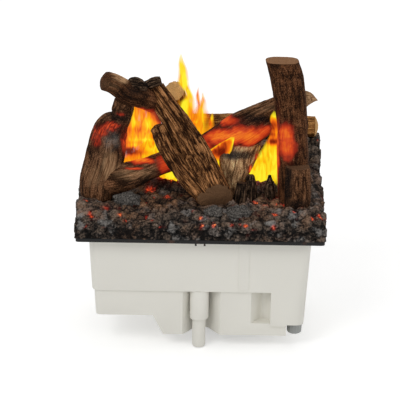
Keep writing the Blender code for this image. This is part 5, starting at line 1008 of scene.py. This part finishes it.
make_log(
    "left_trunk", "log_left_trunk", trunk_bark, "bark",
    (
        (-169, -62, 240), (-169.5, -60, 268), (-157.5, -50, 305), (-152, -42, 338), (-144, -42, 358),
        (-132, -43, 374), (-129, -43, 388), (-125.5, -45, 402),
    ),
    ((24, 24), (29, 25), (31.5, 24), (29.5, 22), (26.5, 20), (17, 16), (17.5, 15), (16, 14)),
    21, furrow=0.8, ends=(1, 4), sawn=(0.0, 0.0),
    knots=((0.3, 2.6, 16, 14, 3),),
    glow=(
        (-164, -55, 356, 18, 30, 10, 0.6), (-147, -55, 363, 18, 30, 9, 0.62),
        (-170, -60, 343, 11, 30, 14, 0.54), (-124.5, -45, 335, 8.5, 30, 26, 0.62),
        (-131, -55, 384, 8, 20, 4, 0.56),
    ),
    ash=((-145, -62, 343, 13, 20, 15, 0.55),),
    bare=(
        (-150, -80, 300, 12, 30, 26, 0.55), (-136, -80, 284, 14, 30, 16, 0.45),
        (-170, -80, 285, 16, 30, 18, 0.2),
    ),
    char_and_shade=(
        (-133, -55, 378, 22, 30, 10, 0.9), (-123, -60, 308, 7, 30, 20, 0.8),
        (-148, -60, 348, 12, 30, 8, 0.7), (-133, -55, 345, 8, 30, 30, 0.7),
        (-168, -80, 320, 16, 30, 16, 0.45),
    ),
)
make_log(
    "front_limb", "log_front_limb", split_bark, "bark",
    ((-164, -59, 268), (-123, -55, 276.5), (-85, -46, 288.5), (-45, -35.1, 302)),
    ((25, 23), (23, 21), (19, 18), (18, 16.5)),
    26, furrow=1.2, ends=(2, 3), sawn=(0.0, 0.0),
    glow=(
        (-56, -50, 300, 22, 30, 20, 0.62), (-100, -48, 304, 34, 20, 4.8, 0.8),
        (-108, -64, 295, 18, 20, 2.2, 0.64),
    ),
    bare=((-108, -64, 288, 30, 30, 9, 0.32),),
    char_and_shade=((-85, -60, 270, 35, 30, 10, 0.95), (-50, -50, 284, 30, 30, 8, 0.95)),
)
make_log(
    "left_branch", "log_left_branch", smooth_bark, "cut_wood",
    ((-155, -70, 442), (-140, -61, 434), (-120, -50, 418), (-98, -38, 407), (-78, -27, 395)),
    ((15.5, 16), (16.5, 17), (19, 18), (18, 18), (16.5, 17)),
    31, furrow=0.7, ends=(5, 2), sawn=(0.0, 0.0),
    glow=((-98, -50, 384, 26, 30, 10, 0.62),),
    bare=((-132, -55, 448, 16, 20, 9.5, 1.6), (-146, -65, 438, 12, 20, 10, 0.3)),
    # Painted shadow under the left bark chip.
    char_and_shade=((-112, -50, 423, 26, 30, 12, 0.95),),
)


# Sloping log and its prop
# A split log climbs from the middle to the right with a pointed pale end. Its front face
# glows red over the flames under a dark crack, and a beige prop holds it up.

make_log(
    "sloping_log", "log_sloping", split_bark, "bark",
    (
        (-16.2, -4.9, 309), (10, -3, 316), (62, 4, 337), (115, 10, 369), (150, 14, 387), (171, 17, 393),
        (188.7, 18.5, 390),
    ),
    ((19, 19), (20, 20), (32, 26), (24, 21), (16, 15), (12.5, 12), (2, 3)),
    37, furrow=0.8, spacing=7, squareness=2.2, ends=(2, 0.4), sawn=(0.0, 0.0),
    knots=(
        (0.27, 2.36, 14, 2.2, -5), (0.33, 2.5, 14, 2.2, -6), (0.4, 2.6, 14, 2.2, -6),
        (0.47, 2.68, 16, 2.2, -5.5),
    ),
    glow=(
        (30, -22, 338, 44, 22, 16.5, 0.76), (56, -22, 339, 32, 22, 18, 0.76),
        (80, -22, 336, 32, 22, 20, 0.76), (102, -18, 345, 20, 22, 12, 0.68), (30, -5, 360, 34, 30, 8, 0.72),
        (0, -18, 318, 22, 22, 18, 0.72),
    ),
    bare=((182, 17, 393, 16, 30, 12, 1.2), (90, 0, 382, 45, 30, 10, 0.15)),
    char_and_shade=((92, -14, 366, 36, 20, 8, 1.0), (60, -18, 358, 22, 20, 4.5, 0.9), (20, -20, 300, 30, 20, 6, 0.9)),
)
make_log(
    "prop", "log_prop", grey_wood, "bark",
    ((57, -46, 240), (55, -37, 262), (56, -26, 285), (61, -13, 308), (70, 2, 326)),
    ((8.5, 10), (16, 12), (25.5, 16), (32, 14), (30, 12)),
    41, furrow=1, ends=(1, 1), sawn=(0.0, 0.0),
    glow=(
        (93, -30, 300, 5, 30, 14, 0.78), (81, -38, 280, 4, 30, 12, 0.8), (72, -20, 327, 40, 30, 8.5, 0.76),
    ),
    ash=((50, -35, 308, 30, 30, 6, 0.7),),
    char_and_shade=((60, -28, 308, 45, 30, 6.5, 0.9), (56, -50, 245, 12, 30, 10, 0.6)),
)


# Back logs
# Two plain pieces of pale sawn wood, cast and painted, lie behind the flames. One is level
# along the back of the bed, and one leans on it.

make_log(
    "back_log", "log_back", pale_wood, "cut_wood",
    ((-37.7, 118, 312.5), (80, 118.5, 313), (192.4, 118, 311.7)),
    ((17.8, 17.8), (18, 18), (17.8, 17.8)),
    46, furrow=1, ends=(1, 6),
    char_and_shade=((20, 100, 318, 50, 30, 12, 0.5),),
)
make_log(
    "leaning_log", "log_back_leaning", pale_wood, "cut_wood",
    ((-46.2, 24.9, 400), (-39.5, 66, 360), (-32.8, 107.3, 319.4)),
    ((16.5, 16.5), (17.2, 17), (17.5, 17)),
    51, furrow=0.8, cuts=((-0.1, -0.75, 0.6), None), ends=(0.5, 1),
)


# Bark chips and charred stubs
# Small dark pieces, cast and painted as the logs are: two chips of bark on the branch, and two
# burnt stubs and a burnt spike before the flames.

for name, stands_for, path_points, girth, seed in (
    ("chip_left", "bark_chip_left",
     ((-119, -50, 430.5), (-107.5, -50, 432.5), (-90, -48, 426.2)),
     ((7.5, 8.5), (10.8, 10.5), (6, 7.5)), 56),
    ("chip_right", "bark_chip_right",
     ((-93.5, -31, 423.5), (-78.5, -29, 429.5), (-68, -28, 432.5)),
     ((5.5, 6), (7.8, 8.5), (6.6, 7)), 58),
    ("burnt_stub_left", "charred_stub_left",
     ((64, -66.1, 238), (65.5, -64, 256), (66.8, -62.1, 271.9)),
     ((11.5, 11), (11.2, 11), (8.5, 9)), 61),
    ("burnt_stub_right", "charred_stub_right",
     ((82.6, -58, 239), (81.2, -56, 262), (79.8, -53.9, 282.1)),
     ((10, 10), (10, 10), (6, 7)), 64),
    ("burnt_spike", "charred_spike",
     ((113, -51.9, 238), (112.2, -50, 262), (111.8, -48.1, 280.5)),
     ((11, 9), (7.5, 7), (2, 2)), 67),
):
    make_log(
        name, stands_for, charred, "charred_wood", path_points, girth, seed, furrow=1.2, spacing=4.5,
        sides=64, ends=(0.6, 0.8),
    )


# Loose coals
# Three knobbly grey coals sit in seats on the bed. They are cast and painted, and the third
# glows a little underneath.

COALS = (
    ((-119.1, -88.2, 248.1), 1.35, "coal"), ((21.1, -111.9, 238.7), 1.0, "coal"),
    ((60.8, -109.9, 238.1), 1.3, "ember_glow"),
)
COAL_HALF = np.array((0.01625, 0.0125, 0.01))
COAL_GLOW, COAL_GLOW_FROM, COAL_SPECK = 0.72, 0.004, 0.004
# Shares of the radius that the core, facets, knobs and bits take, and how fine the last three are
CORE_R, FACET_R, KNOB_R, BIT_R = 0.78, 0.24, 0.16, 0.04
FACETS, KNOBS, BITS = 1.5, 2.2, 9
COAL_POLE, COAL_END = 0.02, 0.86
grey_coal, shader, place = finish("grey coal", Emission_Strength=1.0, Specular_IOR_Level=0.3)
grit = noise(place, 420.0, 5.0, 0.7)
vein = abs(noise(place, 90.0, 3.0) - 0.5)
tone = step(grit, 0.36, 0.66) * (step(vein, 0.004, 0.03) * 0.75 + 0.25)
wired(
    shader, Base_Color=blend(tone, (0.01, 0.0085, 0.0075), (0.185, 0.165, 0.145)),
    Roughness=0.85 - grit * 0.3, Normal=relief(grit, 0.002), Emission_Color=embers(place.held("glow")),
)


def lump_grid(middle, size, seed, rows=44, sides=72):
    """A knobbly ball: a sphere's grid pushed in and out by cell and lattice noise along its radii."""
    polar = np.linspace(COAL_POLE, math.pi - COAL_POLE, rows)[:, None]
    turn = np.linspace(0, 2 * math.pi, sides, endpoint=False)[None]
    ways = joined(np.sin(polar) * np.cos(turn), np.sin(polar) * np.sin(turn), np.cos(polar))
    facet, _ = domes(ways * FACETS + seed, 1.0, seed, 0.5)
    reach = CORE_R + FACET_R * facet
    reach = reach + KNOB_R * lattice(ways * KNOBS, seed) + BIT_R * lattice(ways * BITS, seed)
    top, foot = (middle + np.array((0, 0, way)) * size for way in (COAL_END, -COAL_END))
    return closed_skin(middle + ways * reach[..., None] * size, top, foot)


for number, (middle, share, slot) in enumerate(COALS, 1):
    middle = metres(middle)
    points, faces = lump_grid(middle, COAL_HALF * share, 70 + number)
    piece = mesh_piece(f"loose_coal_{number}", points, faces, "fuel_bed", grey_coal, slot)
    low = np.clip((middle[2] - COAL_GLOW_FROM - points[:, 2]) / COAL_GLOW_FROM, 0, 1)
    low = low * (COAL_GLOW if slot == "ember_glow" else 0.0)
    give(piece, glow=low * np.clip(0.6 + lattice(points / COAL_SPECK, 80), 0, 1))
    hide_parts(f"coal_{number}")


# Flames
# The flames are mist that rises from the slot, lit orange from below. Each is a soft sheet that
# follows its outline, crossed by narrower ones, so that it shows from every side.

FLAME_ROWS, FLAME_COLUMNS = 64, 33
# Waves and bow of a sheet, width and place of a crossing one, the ragged edge, and how they fade
WAVE_H, WAVES, BOW, BOW_TWIST = 0.0016, 130, 0.1, 2.0
CROSS_SHARE, CROSS_MOST, CROSS_BOW, CROSS_BACK, CROSS_SOFTNESS = 0.32, 0.016, 0.4, 0.004, 0.9
RAGGED, RAGGED_SIDE, RAGGED_UP = 0.2, 3, 11
VEIL_CURVE, RIM_CURVE, TOP_FADE, TOP_CURVE, FOOT_FADE, FOOT_VEIL = 1.1, 2.5, 0.1, 0.6, 0.05, 0.1
FLAMES = (
    # name, outline of (height, left, right), depth at foot and top, softness, heat, heat of the rim,
    # places of change in x and z with their reaches and the change, and crossings
    ("main_flame", (
        (242, -44, 12), (290, -46, 10), (332, -44, 4), (350, -42, 0), (365, -42.5, -3), (378, -43, -8),
        (385.9, -40, -10.5), (393, -32, -12.5), (400, -29, -14.5), (406, -30, -16.5), (414, -37, -18.5),
        (423, -42.5, -20.5), (437, -42.5, -24.5), (453.7, -40.5, -29), (470, -36.5, -34),
    ), (4, 4), 0.6, 0.88, -0.18, (
        (-31, 400, 7, 60, 0.14), (-12, 350, 9, 22, -0.22), (-20, 365, 5, 30, -0.12),
    ), (0.45,)),
    ("second_flame", (
        (242, -28, 30), (320, -26, 20), (350, -20, 16), (365, -14, 14), (376, -10, 9), (389, -4, 4),
        (400, -1.5, 1),
    ), (26, 22), 0.95, 0.66, -0.25, ((2, 372, 4, 16, 0.22),), (0.5,)),
    ("high_wisp", (
        (242, -20, 10), (340, -16, 4), (370, -14, -1), (390, -12, -3), (402, -9.5, -4), (413, -7.5, -6),
    ), (18, 12), 1.0, 0.6, -0.15, (), ()),
    ("low_wisp", (
        (242, -4, 26), (320, 0, 26), (340, 6, 24), (355, 10.5, 20), (368, 14, 16),
    ), (18, 14), 1.0, 0.62, -0.15, (), ()),
    ("left_flame", (
        (242, -64, -32), (262, -70, -30), (274, -96, -34), (284, -136, -40), (300, -142, -46),
        (324, -140, -56), (345, -132, -62), (360, -130, -66), (372, -128, -70), (384, -127, -76),
        (400, -124, -82),
    ), (-4, -12), 0.12, 0.7, -0.02, (
        (-104, 400, 40, 14, -0.6), (-78, 386, 20, 16, -0.75), (-64, 362, 14, 22, -0.75),
        (-127, 340, 9, 34, -0.5), (-104, 340, 16, 6, -0.16), (-119, 304, 9, 6, -0.8),
        (-72, 306, 18, 10, 0.24), (-95, 322, 22, 3, 0.22), (-112, 313, 10, 3, 0.24),
        (-114, 356, 3, 14, 0.22), (-88, 350, 3, 22, 0.18), (-48, 262, 12, 12, 0.34),
        (-100, 300, 18, 4, -0.2),
    ), (0.3, 0.7)),
    ("middle_flame", (
        (242, 12, 40), (280, 12, 36), (288.8, 8, 38), (299, -2, 40), (307.5, 3, 44), (316.9, 16.5, 50),
        (327, 30.5, 53), (335.8, 43.5, 54), (341, 49, 53),
    ), (-12, -32), 0.1, 0.34, 0.62, (
        (30, 312, 12, 7, -0.4), (50, 338, 8, 5, 0.4), (26, 292, 10, 9, 0.45), (26, 268, 30, 11, -0.7),
    ), (0.5,)),
    ("right_flame", (
        (242, 60, 118), (262, 64, 132), (284, 78, 134), (300, 90, 134), (316, 99, 132), (335, 108, 130),
        (351, 112, 128), (364, 111, 125), (374, 112, 123), (382.5, 116, 120),
    ), (-8, -21), 0.35, 0.92, 0.0, (
        (115, 357, 14, 14, -0.7), (117, 328, 8.5, 6, -1.0), (100, 290, 5, 12, -0.12),
        (115, 340, 6, 5, -0.5), (118, 375, 3.5, 5, 0.35),
    ), (0.35, 0.7)),
)
flame, shader, place = finish(
    "lit mist", Base_Color=rgb(0.0, 0.0, 0.0), Roughness=1.0, Emission_Strength=1.0, Specular_IOR_Level=0.0,
)
heat, veil = place.held("glow"), place.held("veil")
lick = noise(place.drawn(1.0, 1.0, 0.3), 95.0, 4.0, 0.6)
fold = abs(noise(place.drawn(1.0, 1.0, 0.3), 42.0, 2.0) - 0.5)
dark_fold = abs(noise(place.drawn(1.0, 1.0, 0.24), 60.0, 2.0) - 0.5)
level = heat + (lick - 0.5) * 0.55 + (1 - step(fold, 0.0, 0.05)) * 0.14
level = level - (1 - step(dark_fold, 0.0, 0.06)) * 0.16
colour = level.node("ValToRGB", {"Fac": level}, stops=(
    (0.0, (0.16, 0.012, 0.003)), (1.0, (1.0, 0.86, 0.03)), (0.22, (0.42, 0.045, 0.006)),
    (0.45, (0.9, 0.16, 0.008)), (0.64, (1.0, 0.34, 0.006)), (0.82, (1.0, 0.6, 0.008)),
))
wired(shader, Emission_Color=colour, Alpha=(veil * (step(lick, 0.25, 0.6) * 0.4 + 0.82)).least(0.99))
flame.surface_render_method = "BLENDED"


def open_faces(rows, columns):
    """Quads between the neighbours of an open grid of points."""
    corner = (np.arange(rows - 1)[:, None] * columns + np.arange(columns - 1)).reshape(-1, 1)
    return corner + np.array((0, 1, columns + 1, columns))


def sheet(outline, depths, softness, heat, rim, changes, seed, at=None):
    """One sheet of mist: a grid between an outline's two edges, bowed by a sine, fading at its rim.

    With at given it is a crossing sheet: it stands across the flame at that share of its width.
    """
    levels, left, right = metres(outline).T
    foot_depth, top_depth = metres(depths)
    t = np.linspace(0, 1, FLAME_ROWS)[:, None]
    s = np.linspace(0, 1, FLAME_COLUMNS)[None]
    z = levels[0] + (levels[-1] - levels[0]) * t
    wave = WAVE_H * np.sin(z * WAVES + seed) * t
    low, high = np.interp(z, levels, left) + wave, np.interp(z, levels, right) + wave
    deep = foot_depth + (top_depth - foot_depth) * t
    bow = BOW * (high - low) * np.sin(math.pi * s + BOW_TWIST * t + seed)
    x, y = low + (high - low) * s, deep + bow
    if at is not None:
        half = np.minimum(CROSS_SHARE * (high - low), CROSS_MOST)
        x, y = low + (high - low) * at + CROSS_BOW * bow, deep + CROSS_BACK + half * (2 * s - 1)
    points = joined(x, y, z)
    away = np.abs(2 * s - 1)
    ragged = RAGGED * lattice(joined(np.sign(2 * s - 1) * RAGGED_SIDE, t * RAGGED_UP, seed), seed)
    veil = np.clip((1 - away + ragged * softness) / softness, 0, 1) ** VEIL_CURVE
    veil = veil * np.clip((1 - t) / TOP_FADE, 0, 1) ** TOP_CURVE
    veil = veil * np.clip(t / FOOT_FADE + FOOT_VEIL, 0, 1)
    warm = heat + rim * away**RIM_CURVE + np.zeros_like(z)
    for *lengths, change in changes:
        middle_x, middle_z, reach_x, reach_z = metres(lengths)
        off = ((points[..., 0] - middle_x) / reach_x) ** 2 + ((points[..., 2] - middle_z) / reach_z) ** 2
        warm = warm + change * np.exp(-off)
    return points.reshape(-1, 3), open_faces(FLAME_ROWS, FLAME_COLUMNS), warm.ravel(), veil.ravel()


for number, (name, outline, depths, softness, heat, rim, changes, crossings) in enumerate(FLAMES):
    sheets = [sheet(outline, depths, softness, heat, rim, changes, number + 1)]
    sheets += [
        sheet(outline, depths, CROSS_SOFTNESS, heat, rim, changes, number + 5, at) for at in crossings
    ]
    points, faces, glow, veil = (list(part) for part in zip(*sheets))
    faces = [part + index * FLAME_ROWS * FLAME_COLUMNS for index, part in enumerate(faces)]
    piece = mesh_piece(
        name, np.concatenate(points), np.concatenate(faces), "fuel_bed", flame, "ember_glow",
    )
    give(piece, glow=np.concatenate(glow), veil=np.concatenate(veil))


# Pool of mist
# Before it rises, the mist lies in the slot as a thin bright layer, lit by the lamps below. It
# is darkest at its left end, where the coals hide the lamps.

POOL_ROWS, POOL_COLUMNS, POOL_GAP, POOL_DEPTH = 30, 90, 0.002, 0.009
POOL_RIPPLE_H, POOL_RIPPLE_W, POOL_EDGE = 0.0015, 0.014, 0.12
POOL_DARK_TO, POOL_DARK_REACH = -0.072, 0.01

across, deep = np.meshgrid(np.linspace(-1, 1, POOL_COLUMNS), np.linspace(-1, 1, POOL_ROWS))
pool_x = SLOT_X + across * (SLOT_W / 2 - POOL_GAP)
pool_y = SLOT_Y + deep * (SLOT_D / 2 - POOL_GAP)
ripple = lattice(joined(pool_x, pool_y, 0.0) / POOL_RIPPLE_W, 91)
pool = joined(pool_x, pool_y, RIM + bed_rise(pool_x, pool_y) - POOL_DEPTH + POOL_RIPPLE_H * ripple)
rim_fade = np.clip((1 - np.maximum(np.abs(across), np.abs(deep))) / POOL_EDGE, 0, 1)
piece = mesh_piece(
    "mist_pool", pool.reshape(-1, 3), open_faces(POOL_ROWS, POOL_COLUMNS), "fuel_bed", flame, "ember_glow",
)
dark_fade = smooth((pool_x - POOL_DARK_TO) / POOL_DARK_REACH)
give(piece, glow=0.78 + 0.2 * ripple, veil=(0.35 + 0.6 * rim_fade) * dark_fade)
